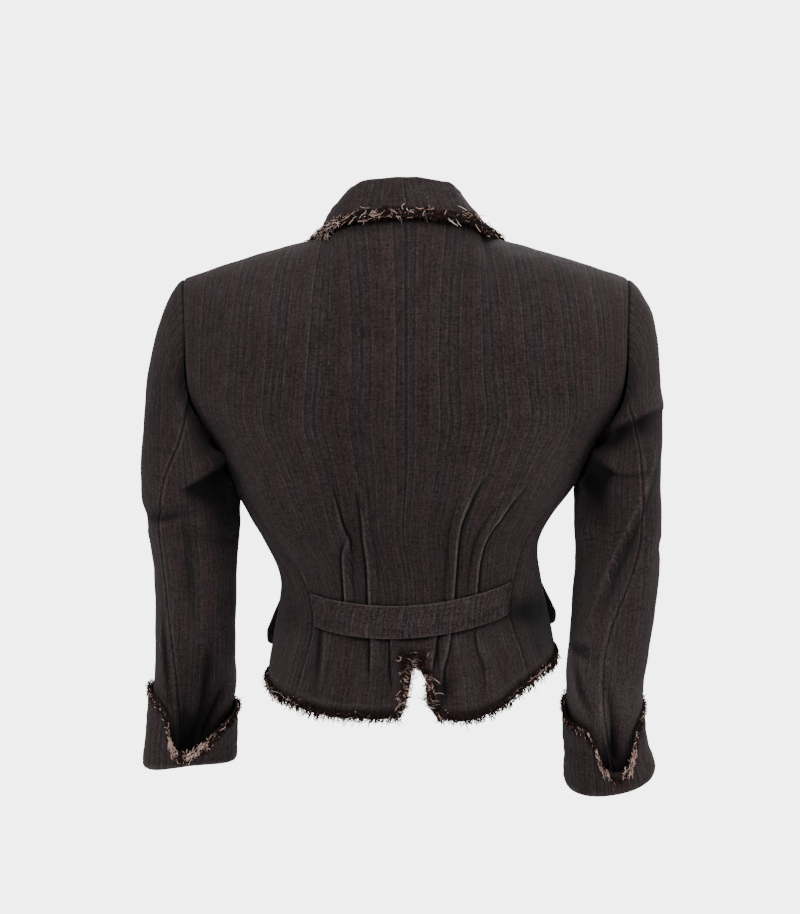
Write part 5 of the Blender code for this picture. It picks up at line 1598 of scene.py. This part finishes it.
MAROON = (0.0318, 0.019, 0.0206, 1.0)
SLATE = (0.0254, 0.0186, 0.0202, 1.0)
RUST_LINE = (0.054, 0.033, 0.027, 1.0)
ROSE_LINE = (0.064, 0.045, 0.045, 1.0)
WINE_LINE = (0.012, 0.0062, 0.0074, 1.0)
# Pale rubbed denim, also mixed in as painted light
RUBBED_AND_PAINTED_LIGHT = (0.105, 0.083, 0.082, 1.0)
STRIPE_REPEAT = 0.033
STRIPE_SOFT = 1.6
STRIPE_FADE = 1.8
# Thin stripes: place in a repeat, half width, colour and strength
STRIPES = (
    (0.00, 0.00045, RUST_LINE, 0.66),
    (0.045, 0.0004, WINE_LINE, 0.62),
    (0.17, 0.0004, ROSE_LINE, 0.3),
    (0.25, 0.0005, WINE_LINE, 0.5),
    (0.31, 0.0004, ROSE_LINE, 0.34),
    (0.5, 0.00042, ROSE_LINE, 0.58),
    (0.455, 0.0004, WINE_LINE, 0.58),
    (0.56, 0.0004, RUST_LINE, 0.36),
    (0.69, 0.0004, RUST_LINE, 0.36),
    (0.75, 0.0005, WINE_LINE, 0.5),
    (0.87, 0.0004, WINE_LINE, 0.42),
)
WARP_WANDER = 0.0016
TWILL_PITCH = 0.0011
TWILL_TONE = 0.05
TWILL_HEIGHT = 0.25
# Noises of the cloth: how many to a metre across and along, start, detail, then part in tone and height
DENIM_NOISES = {
    "streak": (620, 60, 4.1, 3.0, 1.25, 0.9),
    "heather": (600, 560, 8.3, 2.0, 2.2, 1.5),
    "thread": (1150, 1050, 3.7, 1.0, 1.6, 1.0),
    "weft": (70, 600, 7.9, 2.0, 0.9, 0.5),
    "wash": (42, 30, 2.6, 4.0, 0.5, 0.0),
    "patch": (11, 8, 6.4, 2.0, 0.5, 0.0),
}


def stripe(across, place, half_width):
    """1 on the thin stripes that lie at a place in each repeat, and 0 off them."""
    off = abs((across / STRIPE_REPEAT + (0.5 - place)).part() - 0.5) * STRIPE_REPEAT
    return (STRIPE_SOFT - off / half_width).share()


def denim_finish(name, rub_and_painted_light_share, light=1.0, coarse=1.0):
    """Washed striped denim: bands and lines of coloured warp, slubby twill, mottled wash, rubbed crests,
    painted light and painted shade.
    """
    finish = Finish(name)
    across, along = finish.grain()
    tone_wear_and_painted_shading = finish.tone_wear_and_painted_shading()
    across = across + (finish.noise(across * 20, along * 28, 1.7) - 0.5) * WARP_WANDER
    twill = ((across + along) * (2 * math.pi / TWILL_PITCH)).sine()
    noises = {}
    grainy, height = 0.0, twill * TWILL_HEIGHT
    for kind, (over, down, start, detail, in_tone, in_height) in DENIM_NOISES.items():
        noises[kind] = finish.noise(across * over, along * down, start, detail) - 0.5
        grainy = noises[kind] * in_tone + grainy
        height = noises[kind] * in_height + height
    heather, streak = noises["heather"], noises["streak"]
    band = (across * (2 * math.pi / STRIPE_REPEAT)).sine() * 0.4 + 0.5 + noises["wash"] * 1.3
    colour = finish.between(MAROON, SLATE, band.share())
    fade = finish.noise(across * 160, along * 26, 5.2)
    for place, half_width, tint, strength in STRIPES:
        seen = stripe(across, place, half_width) * (fade * (STRIPE_FADE * strength))
        colour = finish.between(colour, tint, seen)
    tone = (1.0 + grainy * coarse + twill * TWILL_TONE) * light
    colour = finish.scaled(colour, tone.over(0.2))
    # Above 0 the values mix in the rubbed colour: rubbed crests and edges, the belt's painted highlight and
    # painted light in some hollows
    rub_and_painted_light = (tone_wear_and_painted_shading.over(0.0) * (0.55 + heather * 1.4 + streak * 0.6)).share() * rub_and_painted_light_share
    colour = finish.between(colour, RUBBED_AND_PAINTED_LIGHT, rub_and_painted_light)
    # Below 0 the values darken the colour: painted shade in creases, hollows, seam grooves, cuffs and along
    # the belt, and a darker hem
    colour = finish.scaled(colour, (1.0 + tone_wear_and_painted_shading * 0.9).over(0.08).under(1.0))
    return finish.shaded(
        {
            "Base Color": colour,
            "Roughness": (0.88 + heather * 0.2).under(0.98),
            "Normal": finish.bumped(height, 0.5, 0.0004),
            "Specular IOR Level": 0.12,
            "Sheen Weight": 0.04,
            "Sheen Roughness": 0.55,
        }
    )


DARK_YARN = (0.0085, 0.006, 0.0075, 1.0)
BROWN_YARN = (0.04, 0.018, 0.0165, 1.0)
PINK_YARN = (0.84, 0.55, 0.46, 1.0)
CREAM_YARN = (1.0000, 0.88, 0.8, 1.0)
YARN_PLY = 4200


def yarn_finish(name):
    """Loose yarn: dark and brown warp ends, and pink-beige weft, each with its twist."""
    finish = Finish(name)
    tone = finish.tone_wear_and_painted_shading()
    ply = finish.ply(*finish.grain(), YARN_PLY)
    colour = finish.between(DARK_YARN, BROWN_YARN, (tone * 5.0).under(1.0))
    colour = finish.between(colour, PINK_YARN, ((tone - 0.28) * 3.0).share())
    colour = finish.between(colour, CREAM_YARN, ((tone - 0.66) * 3.0).share())
    return finish.shaded(
        {
            # Colour darkened in the twist's grooves: painted shade
            "Base Color": finish.scaled(colour, 0.75 + ply * 0.35),
            "Roughness": 0.9 + ply * 0.05,
            "Normal": finish.bumped(ply, 0.4, 0.0001),
            "Specular IOR Level": 0.15,
        }
    )


STITCH_DARK = (0.026, 0.019, 0.019, 1.0)
STITCH_PALE = (0.066, 0.05, 0.049, 1.0)
STITCH_PLY = 5200


def thread_finish(name):
    """Sewing thread between two close tones, with its twist."""
    finish = Finish(name)
    ply = finish.ply(*finish.grain(), STITCH_PLY)
    colour = finish.between(STITCH_DARK, STITCH_PALE, finish.tone_wear_and_painted_shading())
    return finish.shaded(
        {
            # Colour darkened in the twist's grooves: painted shade
            "Base Color": finish.scaled(colour, 0.8 + ply * 0.3),
            "Roughness": 0.7 + ply * 0.1,
            "Normal": finish.bumped(ply, 0.4, 0.00008),
        }
    )


HORN_DARK = (0.012, 0.0085, 0.0075, 1.0)
HORN_BROWN = (0.06, 0.034, 0.023, 1.0)


def horn_finish(name):
    """Dark imitation horn: brown streaks through near black, satin with finer scratches."""
    finish = Finish(name)
    across, along = finish.grain()
    streak = finish.noise(across * 90, along * 420, 3.1, 4.0)
    scratch = finish.noise(across * 3000, along * 900, 5.5)
    return finish.shaded(
        {
            "Base Color": finish.between(HORN_DARK, HORN_BROWN, ((streak - 0.42) * 3.0).share()),
            "Roughness": 0.28 + scratch * 0.22,
            "Normal": finish.bumped(scratch, 0.12, 0.0001),
        }
    )


# Pieces

def hem_rub_and_darkening(from_hem):
    """A hem is darker over its last centimetre, where the roots of its fringe lie, below a faint rubbed
    line.
    """
    return HEM_RUB * near(from_hem, *HEM_RUB_AT) - HEM_DARK * (1 - ease(*HEM_ROOTS, from_hem))


def facing_back(normals):
    return ease(*FACING, normals[..., 1])


def plain_grain(kind, side, across, along):
    return np.stack([side * (GRAIN_START[kind] + across), along], -1)


def gathered_grain(side, across, down, width, along):
    """Grain of a back, whose stripes close up towards the waist as the cloth narrows."""
    blade_row = np.searchsorted(down[:, 0], BLADE_SHARE)
    width = np.where(down[:, :1] < BLADE_SHARE, width[blade_row], width)
    lay = side * across * width**STRIPE_GATHER * BLADE_WIDTH ** (1 - STRIPE_GATHER)
    return np.stack([lay + GRAIN_START["back"], along + 0 * across], -1)


def make_back(side, name, denim):
    """A back with its tucks, creases and seams, and the marks of the belt that lies on it: flatter cloth
    under it and painted shade along its edges.
    """
    across, down = grid(*fine("back"))
    drop = drop_of(down, side * across * SEAMS.at("side_back", HEM_LEVEL))
    cut = back_surface(side, across, down)
    base = mixed(eased_down(cut), cut, ease(*VENT_KEPT, drop)[..., None])
    normals = grid_normals(base, shoulder_out(base))
    from_centre, from_side, from_top, from_hem = runs(base)
    tuck, tuck_rub_and_painted_shade = tucked(base)
    crease, crease_rub_and_painted_shade = creased(base, BACK_CREASES)
    hollow, shade = hollowed(base, BODY_HOLLOWS)
    behind = facing_back(normals)
    level = drop + BELT_END_RISE * across**2
    under_belt = ease(*UNDER_BELT_TOP, level) * (1 - ease(*UNDER_BELT_FOOT, level))
    armhole = 1 - ease(*ARMHOLE_ENDS, drop)
    closed = 1 - ease(*CENTRE_OPENS, drop)
    centre, centre_rub_and_painted_shade = beside((f"centre_{name}", from_centre))
    sleeve, armhole_rub_and_painted_shade = beside(("armhole", from_side))
    seam, seam_rub_and_painted_shade = beside(("side_back", from_side))
    height = (tuck + crease + hollow) * behind * (1 - BELT_PRESS * under_belt)
    height += FLUTE_SHARE * back_relief(side, across, down) * ease(*FLUTES, drop) + uneven(base, "back")
    height += (centre + puckers(from_centre, from_top, 13)) * closed
    height += mixed(seam, sleeve, armhole) + puckers(from_side, from_top, 14)
    height += EDGES["shoulder"].height(from_top)
    tone_wear_and_painted_shading = (tuck_rub_and_painted_shade + crease_rub_and_painted_shade + shade) * behind + hem_rub_and_darkening(from_hem)
    # Painted shade above and below the belt
    tone_wear_and_painted_shading -= BELT_SHADE * (near(level, *BELT_SHADE_TOP) + near(level, *BELT_SHADE_FOOT))
    tone_wear_and_painted_shading += centre_rub_and_painted_shade * closed + mixed(seam_rub_and_painted_shade, armhole_rub_and_painted_shade, armhole)
    grain = gathered_grain(side, across, down, (from_centre + from_side)[:, -1:], from_top[:, :1])
    return shell(f"back_{name}", base, normals, height, grain, tone_wear_and_painted_shading, denim)


def make_side(side, name, denim):
    """A side body, whose first columns lap under the back beside it."""
    columns, rows = fine("side")
    lap = len(SIDE_LAP)
    across, down = grid(np.concatenate([SIDE_LAP, columns]), rows)
    base = eased_down(side_surface(side, across, down))
    normals = grid_normals(base, away_from_axis(base))
    from_back, from_front, from_top, from_hem = runs(base)
    from_back = from_back - from_back[:, lap][:, None]
    hollow, shade = hollowed(base, BODY_HOLLOWS)
    seam, seam_rub_and_painted_shade = beside(("side_lap", from_back), ("side_front", from_front), ("side_top", from_top))
    height = uneven(base, "side") + hollow * facing_back(normals) + seam
    for distance in (from_back, from_front):
        height += puckers(np.abs(distance), from_top, 15)
    height -= SIDE_LAP_SINK * (1 - ease(*SIDE_LAP_EASE, from_back))
    tone_wear_and_painted_shading = shade * ease(*SIDE_SEEN, normals[..., 1]) + seam_rub_and_painted_shade + hem_rub_and_darkening(from_hem)
    grain = plain_grain("side", side, from_back, from_top)
    made = shell(f"side_{name}", base, normals, height, grain, tone_wear_and_painted_shading, denim)
    return made._replace(points=made.points[:, lap:])


def make_front(side, name, denim):
    across, down = grid(*fine("front"))
    base = eased_down(front_surface(side, across, down))
    normals = grid_normals(base, shoulder_out(base))
    from_edge, from_side, from_top, from_hem = runs(base)
    crease, crease_rub_and_painted_shade = creased(base, FRONT_CREASES)
    before = facing_back(-normals) * ease(*FRONT_CREASED, from_edge)
    seam, seam_rub_and_painted_shade = beside(("front_side", from_side), ("front_edge", from_edge), ("shoulder", from_top))
    height = uneven(base, "front") * ease(*FRONT_UNEVEN, from_edge) + crease * before + seam
    height += puckers(from_side, from_top, 16)
    tone_wear_and_painted_shading = seam_rub_and_painted_shade + crease_rub_and_painted_shade * before + hem_rub_and_darkening(from_hem)
    base[..., 0] += side * ARMPIT_REACH * bump(from_side / ARMPIT_WIDTH) * near(base[..., 2], *ARMPIT_LEVEL)
    grain = plain_grain("front", side, from_edge, from_top)
    return shell(f"front_{name}", base, normals, height, grain, tone_wear_and_painted_shading, denim)


def make_lapel(side, name, denim):
    base = lapel_points(side, *grid(*fine("lapel")))
    normals = grid_normals(base, shoulder_out(base))
    from_roll, _, from_top, _ = runs(base)
    height = uneven(base, "lapel") * ease(*LAPEL_UNEVEN, from_roll)
    _, tone_wear_and_painted_shading = beside(("lapel_roll", from_roll), ("lapel_top", from_top))
    grain = plain_grain("lapel", side, from_roll, from_top)
    return shell(f"lapel_{name}", base, normals, height, grain, tone_wear_and_painted_shading, denim)


def make_flap(side, name, denim):
    base = flap_points(side, *grid(*fine("flap")))
    normals = grid_normals(base, away_from_axis(base))
    from_back, from_front, from_top, from_foot = runs(base)
    from_edge = np.minimum(np.minimum(from_back, from_front), from_foot)
    height, tone_wear_and_painted_shading = beside(("flap_edge", from_edge), ("flap_row", from_edge), ("flap_top", from_top))
    grain = plain_grain("flap", side, from_back, from_top)
    return shell(f"flap_{name}", base, normals, height + uneven(base, "flap"), grain, tone_wear_and_painted_shading, denim)


def make_belt(belt_denim):
    columns, rows = FINE["belt"]
    across, down = grid(np.linspace(*BELT_ENDS, columns), np.linspace(0, 1, rows))
    base = belt_points(across, down)
    normals = grid_normals(base, away_from_axis(base))
    base = base - normals * (BELT_END_SINK * ease(*BELT_SUNK, np.abs(across)))[..., None]
    from_left, _, from_top, from_foot = runs(base)
    from_rows = [(down - row) * BELT_DEPTH for row in BELT_ROWS]
    edges = [("belt_rim", np.minimum(from_top, from_foot)), ("belt_top", from_top), ("belt_foot", from_foot)]
    height, tone_wear_and_painted_shading = beside(*edges, *(("belt_row", distance) for distance in from_rows))
    wander = sum(amount * np.sin(from_left / pitch) for amount, pitch in BELT_PULL_WANDER)
    near_rows = np.max([bump(distance / BELT_PULL_REACH) for distance in from_rows], axis=0)
    pull = np.sin(2 * math.pi * from_left / BELT_PULL + wander) * near_rows
    height += uneven(base, "belt") + BELT_PULL_HEIGHT * pull
    # Pulls rubbed paler on their crests, with painted shade in their troughs
    tone_wear_and_painted_shading += BELT_PULL_RUB_AND_PAINTED_SHADE * pull
    grain = np.stack([from_left * BELT_STRIPES, from_top], -1)
    return shell("half_belt", base, normals, height, grain, tone_wear_and_painted_shading, belt_denim, "belt_denim", BELT_WALL)


def make_sleeve(name, kind, denim):
    """One of a sleeve's two pieces: the upper from front seam to elbow seam, the under one on from there."""
    across, along = grid(*fine(kind))
    along = along * SLEEVE_END_SHARE
    elbow = ELBOW_SEAM[name].at("turn", along)
    seams = (FRONT_SEAM_TURN, elbow) if kind == "upper_sleeve" else (elbow, FRONT_SEAM_TURN + 360.0)
    turn = mixed(*seams, across)
    back, out = np.sin(np.radians(turn)), np.cos(np.radians(turn))
    base = eased_down(sleeve_surface(name, along, turn))
    outward = sleeve_out(name, base, along)
    base = base + outward * (SLEEVE_FOLD_SHARE * sleeve_relief(name, along, turn))[..., None]
    level, reach, amount = SLEEVE_LEAN[name]
    lean = amount * near(base[..., 2], level, reach) * ease(*SLEEVE_INNER, -out)
    base[..., 0] -= np.sign(base[..., 0]) * lean
    normals = grid_normals(base, outward)
    from_first, from_last, from_top, _ = runs(base)
    crease, crease_rub_and_painted_shade = creased(base, SLEEVE_CREASES[name])
    front_crease, front_crease_rub_and_painted_shade = creased(base, SLEEVE_FRONT_CREASES[name])
    hollow, shade = hollowed(base, SLEEVE_HOLLOWS[name])
    edges = ("sleeve_seam", from_first), ("sleeve_seam", from_last), ("sleeve_top", from_top)
    seam, seam_rub_and_painted_shade = beside(*edges)
    behind, before = ease(*SLEEVE_BEHIND, back), ease(*SLEEVE_BEHIND, -back)
    height = ((crease + hollow) * behind + front_crease * before) * ease(*SLEEVE_CREASED, along)
    height += uneven(base, "sleeve") * ease(*SLEEVE_UNEVEN, along)
    height -= CUFF_DRAWN_IN * ease(*CUFF_INSIDE, along)
    height += seam + puckers(from_first, from_top, 17) + puckers(from_last, from_top, 17)
    tone_wear_and_painted_shading = crease_rub_and_painted_shade * behind + shade * ease(*SLEEVE_SEEN, back) + front_crease_rub_and_painted_shade * before + seam_rub_and_painted_shade
    # Painted shade inside the cuff
    tone_wear_and_painted_shading -= CUFF_SHADE[name] * ease(*CUFF_SHADED, along)
    grain = np.stack([np.radians(turn) * SLEEVE_RADIUS * SLEEVE_STRIPES, along * SLEEVE_LENGTH], -1)
    return shell(f"{kind}_{name}", base, normals, height, grain, tone_wear_and_painted_shading, denim)


def make_cuff(_, name, denim):
    """A turned-back cuff, with the fold at its foot that leads into the sleeve."""
    columns, rows = FINE["cuff"]
    turn, up = grid(cuff_turns(name, columns), np.linspace(1.0, 0.0, rows))
    base = cuff_points(name, turn, up)
    base[..., 2] += CUFF_WAVE[name] * near(np.mod(turn, 360.0), *CUFF_WAVE_TURN) * (1 - up) ** 2
    out = sleeve_out(name, base, 1.0 - up * CUFF_SHARE)
    foot_normals = grid_normals(base, out)[-1:]
    end = sleeve_surface(name, np.ones_like(turn[:1]), turn[:1])
    down = unit(end - sleeve_surface(name, np.full_like(turn[:1], CUFF_FOLD_FROM), turn[:1]))
    bend = np.linspace(0.0, 1.0, CUFF_FOLD_POINTS)[1:, None, None] * math.pi
    inward = (CUFF_LIFT_BOTTOM + CUFF_DRAWN_IN) * (1 - np.cos(bend)) / 2
    fold = base[-1:] + down * CUFF_FOLD_DEPTH * np.sin(bend) - foot_normals * inward
    base = np.concatenate([base, fold])
    out, turn, up = (np.concatenate([part, np.repeat(part[-1:], len(fold), 0)]) for part in (out, turn, up))
    height = uneven(base, "cuff") * ease(0.0, CUFF_SMOOTH_FOOT, up)
    tone_wear_and_painted_shading = CUFF_FOOT_RUB * near(up, *CUFF_FOOT_RUB_AT) + uneven(base, "cuff_foot") * (up < CUFF_FOOT)
    grain = np.stack([np.radians(turn) * SLEEVE_RADIUS, runs(base)[2]], -1)
    return shell(f"cuff_{name}", base, out, height, grain, tone_wear_and_painted_shading, denim, ring=True)


def make_collar(denim):
    columns, rows = FINE["collar"]
    along, over = grid(np.linspace(-1, 1, columns), np.linspace(0, 1, rows))
    base = collar_surface(along, over)
    base[..., 0] += COLLAR_LEAN * near(over, *COLLAR_LEAN_OVER)
    full = np.where(along > 0, COLLAR_FULL[0], -COLLAR_FULL[1]) * ease(*COLLAR_FULL_ALONG, np.abs(along))
    base[..., 0] += full * near(over, *COLLAR_FULL_OVER)
    base[..., 2] += uneven(base, "collar_roll") * near(over, *COLLAR_WAVE_OVER)
    normals = grid_normals(base, shoulder_out(base))
    from_end, _, from_seam, _ = runs(base)
    height = uneven(base, "collar") * ease(*COLLAR_FALL, over)
    tone_wear_and_painted_shading = COLLAR_RUB * near(over, *COLLAR_RUB_OVER) - COLLAR_DARK * near(over, *COLLAR_DARK_OVER)
    grain = np.stack([np.broadcast_to(from_end[rows // 2], along.shape), from_seam], -1)
    return shell("collar", base, normals, height, grain, tone_wear_and_painted_shading, denim)


def frayed_edges(backs, sides, fronts, lapels, cuffs, collar):
    """Each frayed edge: its name, its points, points inside it and the ways out of the cloth's face."""
    corner = int(VENT_CORNER * FINE["back"][0])
    for _, name in SIDES:
        back, side, front = backs[name].points, sides[name].points, fronts[name].points
        hem = np.concatenate([back[-1, corner:], side[-1], front[-1, ::-1]])
        above = np.concatenate([back[-6, corner:], side[-4], front[-5, ::-1]])
        yield f"hem_{name}", hem, above, away_from_axis(hem)
        start, end = (int(share * (len(back) - 1)) for share in VENT_FRAYED)
        edge = back[start:end, 0]
        yield f"vent_{name}", edge, back[start:end, VENT_INSIDE], away_from_axis(edge)
        cuff = cuffs[name].points
        out = sleeve_out(name, cuff[0], np.full(len(cuff[0]), CUFF_TOP_SHARE))
        yield f"cuff_{name}", cuff[0], cuff[2], out
        lapel = lapels[name].points
        yield f"lapel_{name}", lapel[:, -1], lapel[:, -4], shoulder_out(lapel[:, -1])
    front = fronts["right"].points
    start, end = (int(share * (len(front) - 1)) for share in FRONT_FRAYED)
    edge = front[start:end, 0]
    yield "front_right", edge, front[start:end, FRONT_INSIDE], away_from_axis(edge)
    edge, inner = collar.points[-1], collar.points[-4]
    out = np.cross(np.gradient(edge, axis=0), edge - inner)
    yield "collar", edge, inner, np.where(out[:, 2:] < 0, -out, out)


def centre_path(cloth):
    """Rows and columns of a back's grid that lie beside its centre seam, down to the belt."""
    from_centre = runs(cloth)[0]
    rows = np.arange(CENTRE_STITCH_START, int(CENTRE_STITCH_END * (len(cloth) - 1)))
    return rows, np.array([np.searchsorted(from_centre[row], CENTRE_ROW) for row in rows])


def flap_path(cloth):
    """Rows and columns of a flap's grid that run round inside its edge."""
    foot = int(FLAP_STITCH_FOOT * (len(cloth) - 1))
    first, last = FLAP_STITCH_INSET, cloth.shape[1] - FLAP_STITCH_INSET
    path = [(row, first) for row in range(1, foot)] + [(foot, column) for column in range(first, last)]
    path += [(row, last - 1) for row in range(foot - 1, 0, -1)]
    return np.array(path).T


def make_stitches(backs, belt, flaps, thread):
    rows = []
    inset = slice(BELT_STITCH_INSET, -BELT_STITCH_INSET)
    for row in BELT_ROWS:
        at = int(round(row * (len(belt.points) - 1)))
        rows.append(stitch_row(belt.points[at, inset], belt.outward[at, inset], BELT_WALL))
    stitching("stitches_half_belt", rows, thread, "belt_denim")
    for _, name in SIDES:
        for kind, made, path, outward in (
            ("back", backs, centre_path, shoulder_out),
            ("flap", flaps, flap_path, away_from_axis),
        ):
            cloth = made[name].points
            at = tuple(path(cloth))
            face = grid_normals(cloth, outward(cloth))[at]
            stitching(f"stitches_{kind}_{name}", [stitch_row(cloth[at], face, WALL)], thread, "denim")


def button_form():
    """A button on its own: rolled rim, dished middle and four holes, as x, y and lift round its spokes."""
    spoke = np.linspace(0.0, 2 * math.pi, BUTTON_SPOKES + 1)[:-1]
    spoke, part = np.meshgrid(spoke, np.linspace(0.0, 1.0, BUTTON_RINGS))
    half = BUTTON_THICKNESS / 2
    face = np.minimum(part / BUTTON_FACE, 1.0)
    turn = np.clip((part - BUTTON_FACE) / BUTTON_RIM, 0.0, 1.0) * math.pi
    behind = np.clip((part - BUTTON_FACE - BUTTON_RIM) / BUTTON_RIM, 0.0, 1.0)
    radius = (BUTTON_RADIUS - half) * face * (1 - behind) + half * np.sin(turn)
    x, y = radius * np.cos(spoke), radius * np.sin(spoke)
    sunk = BUTTON_DISH * (1 - ease(*BUTTON_DISH_END, face))
    for a in (-1, 1):
        for b in (-1, 1):
            away = np.hypot(x - a * BUTTON_HOLE_AT, y - b * BUTTON_HOLE_AT)
            sunk = sunk + BUTTON_HOLE_DEPTH * (1 - ease(*BUTTON_HOLE_END, away / BUTTON_HOLE))
    return x, y, half * np.cos(turn) - np.where(part < BUTTON_FACE, sunk, 0.0)


def button_threads():
    """The strands crossed over a button's middle, as x, y and lift."""
    step = np.linspace(-1.0, 1.0, THREAD_POINTS)
    lift = BUTTON_THICKNESS / 2 - BUTTON_DISH + THREAD_RISE * (1 - step**4) - THREAD_DIVE * step**8
    strands = []
    for way in (1, -1):
        for aside in THREAD_ASIDE:
            reach = BUTTON_HOLE_AT * step
            strands.append(np.stack([reach + aside, way * (reach - aside), lift], -1))
    return np.array(strands)


def make_buttons(horn, thread):
    """Round buttons down the front, square to the cloth under them."""
    x, y, lift = button_form()
    index = np.arange(x.size).reshape(x.shape)
    index = np.concatenate([index, index[:, :1]], 1)
    quads = np.stack([index[:-1, :-1], index[1:, :-1], index[1:, 1:], index[:-1, 1:]], -1).reshape(-1, 4)
    form = np.stack([x, y, lift], -1).reshape(-1, 3)
    strands = button_threads()
    for number, (drop, gap) in enumerate(BUTTONS, 1):
        steps = np.array([-1.0, 0.0, 1.0])
        patch = torso(*grid(180.0 + steps * BUTTON_PATCH_ANGLE, drop + steps * BUTTON_RADIUS / 2))
        normal = grid_normals(patch, away_from_axis(patch))[1, 1]
        centre = patch[1, 1] + normal * (OVERLAP_LIFT + WALL / 2 + gap + BUTTON_THICKNESS / 2)
        right = unit(np.cross(normal, [0.0, 0.0, 1.0]))
        axes = np.array([right, np.cross(right, normal), normal])
        name = f"horn_button_{number}"
        mesh = mesh_of(name, centre + form @ axes, quads, form[:, :2][quads], np.zeros(len(form)))
        placed(name, mesh, horn, "button", f"button_{number}")
        radii = np.full(strands.shape[:2], THREAD_RADIUS)
        verts, faces, corners = tubes(centre + strands @ axes, radii, THREAD_SIDES)
        name = f"button_thread_{number}"
        mesh = mesh_of(name, verts, faces, corners, np.full(len(verts), THREAD_TONE))
        placed(name, mesh, thread, "denim")


# Stage

def in_scene(name, data):
    made = bpy.data.objects.new(name, data)
    bpy.context.scene.collection.objects.link(made)
    return made


def set_floor():
    mesh = bpy.data.meshes.new("floor")
    turn = np.arange(FLOOR_SIDES) * 2 * math.pi / FLOOR_SIDES
    rim = [(FLOOR_RADIUS * math.cos(a), FLOOR_RADIUS * math.sin(a), -FLOOR_DROP) for a in turn]
    mesh.from_pydata(rim, [], [tuple(range(FLOOR_SIDES))])
    mesh.materials.append(Finish("pale floor").shaded({"Base Color": FLOOR_COLOUR, "Roughness": 0.9}))
    floor = in_scene("floor", mesh)


def set_world():
    """Soft light from all round, with a brighter white where the camera looks past the jacket."""
    world = bpy.data.worlds.new("studio")
    world.use_nodes = True
    sky = Nodes(world.node_tree)
    lit = sky.tree.nodes["Background"]
    sky.feed(lit, {"Color": WHITE, "Strength": SKY_LIGHT})
    seen = sky.value("ShaderNodeBackground", {}, {"Color": WHITE, "Strength": SKY_SEEN})
    looking = sky.value("ShaderNodeLightPath", {}, {}, "Is Camera Ray")
    blend = sky.value("ShaderNodeMixShader", {}, {0: looking, 1: Value(sky, lit.outputs[0]), 2: seen})
    sky.feed(sky.tree.nodes["World Output"], {0: blend})
    bpy.context.scene.world = world


def set_lamps():
    for name, place, size, power in LAMPS:
        light = bpy.data.lights.new(name, "AREA")
        light.shape = "DISK"
        light.size = size
        light.energy = power
        lamp = in_scene(name, light)
        lamp.location = place
        aim = Vector(LAMP_AIM) - Vector(place)
        lamp.rotation_euler = aim.to_track_quat("-Z", "Y").to_euler()


def set_camera():
    camera = bpy.data.cameras.new("photograph")
    camera.sensor_fit = "VERTICAL"
    camera.sensor_height = SENSOR
    camera.sensor_width = SENSOR
    camera.lens = SENSOR * EYE[1] / FRAME_HEIGHT
    view = in_scene("photograph", camera)
    view.location = EYE
    view.rotation_euler = (math.pi / 2, 0.0, math.pi)
    bpy.context.scene.camera = view


def main():
    denim = denim_finish("striped denim", 0.85)
    belt_denim = denim_finish("striped denim, rubbed belt", 0.95, 1.08, 1.35)
    yarn = yarn_finish("frayed yarn")
    thread = thread_finish("stitch thread")
    horn = horn_finish("dark horn")

    def both(make):
        return {name: make(side, name, denim) for side, name in SIDES}

    backs, sides, fronts, lapels, flaps = (
        both(make) for make in (make_back, make_side, make_front, make_lapel, make_flap)
    )
    belt = make_belt(belt_denim)
    sleeves = {name: [make_sleeve(name, kind, denim) for kind in SLEEVE_KINDS] for _, name in SIDES}
    cuffs = both(make_cuff)
    collar = make_collar(denim)
    edges = frayed_edges(backs, sides, fronts, lapels, cuffs, collar)
    fray = {label: frayed(label, *edge, yarn) for label, *edge in edges}
    make_stitches(backs, belt, flaps, thread)
    make_buttons(horn, thread)

    for _, name in SIDES:
        cut_of(backs[name])
        cut_of(sides[name])
        cut_of(fronts[name])
        cut_of(lapels[name])
        cut_of(flaps[name])
        for sleeve in sleeves[name]:
            cut_of(sleeve)
        cut_of(cuffs[name])
    cut_of(belt)
    cut_of(collar)

    set_floor()
    set_world()
    set_lamps()
    set_camera()


main()
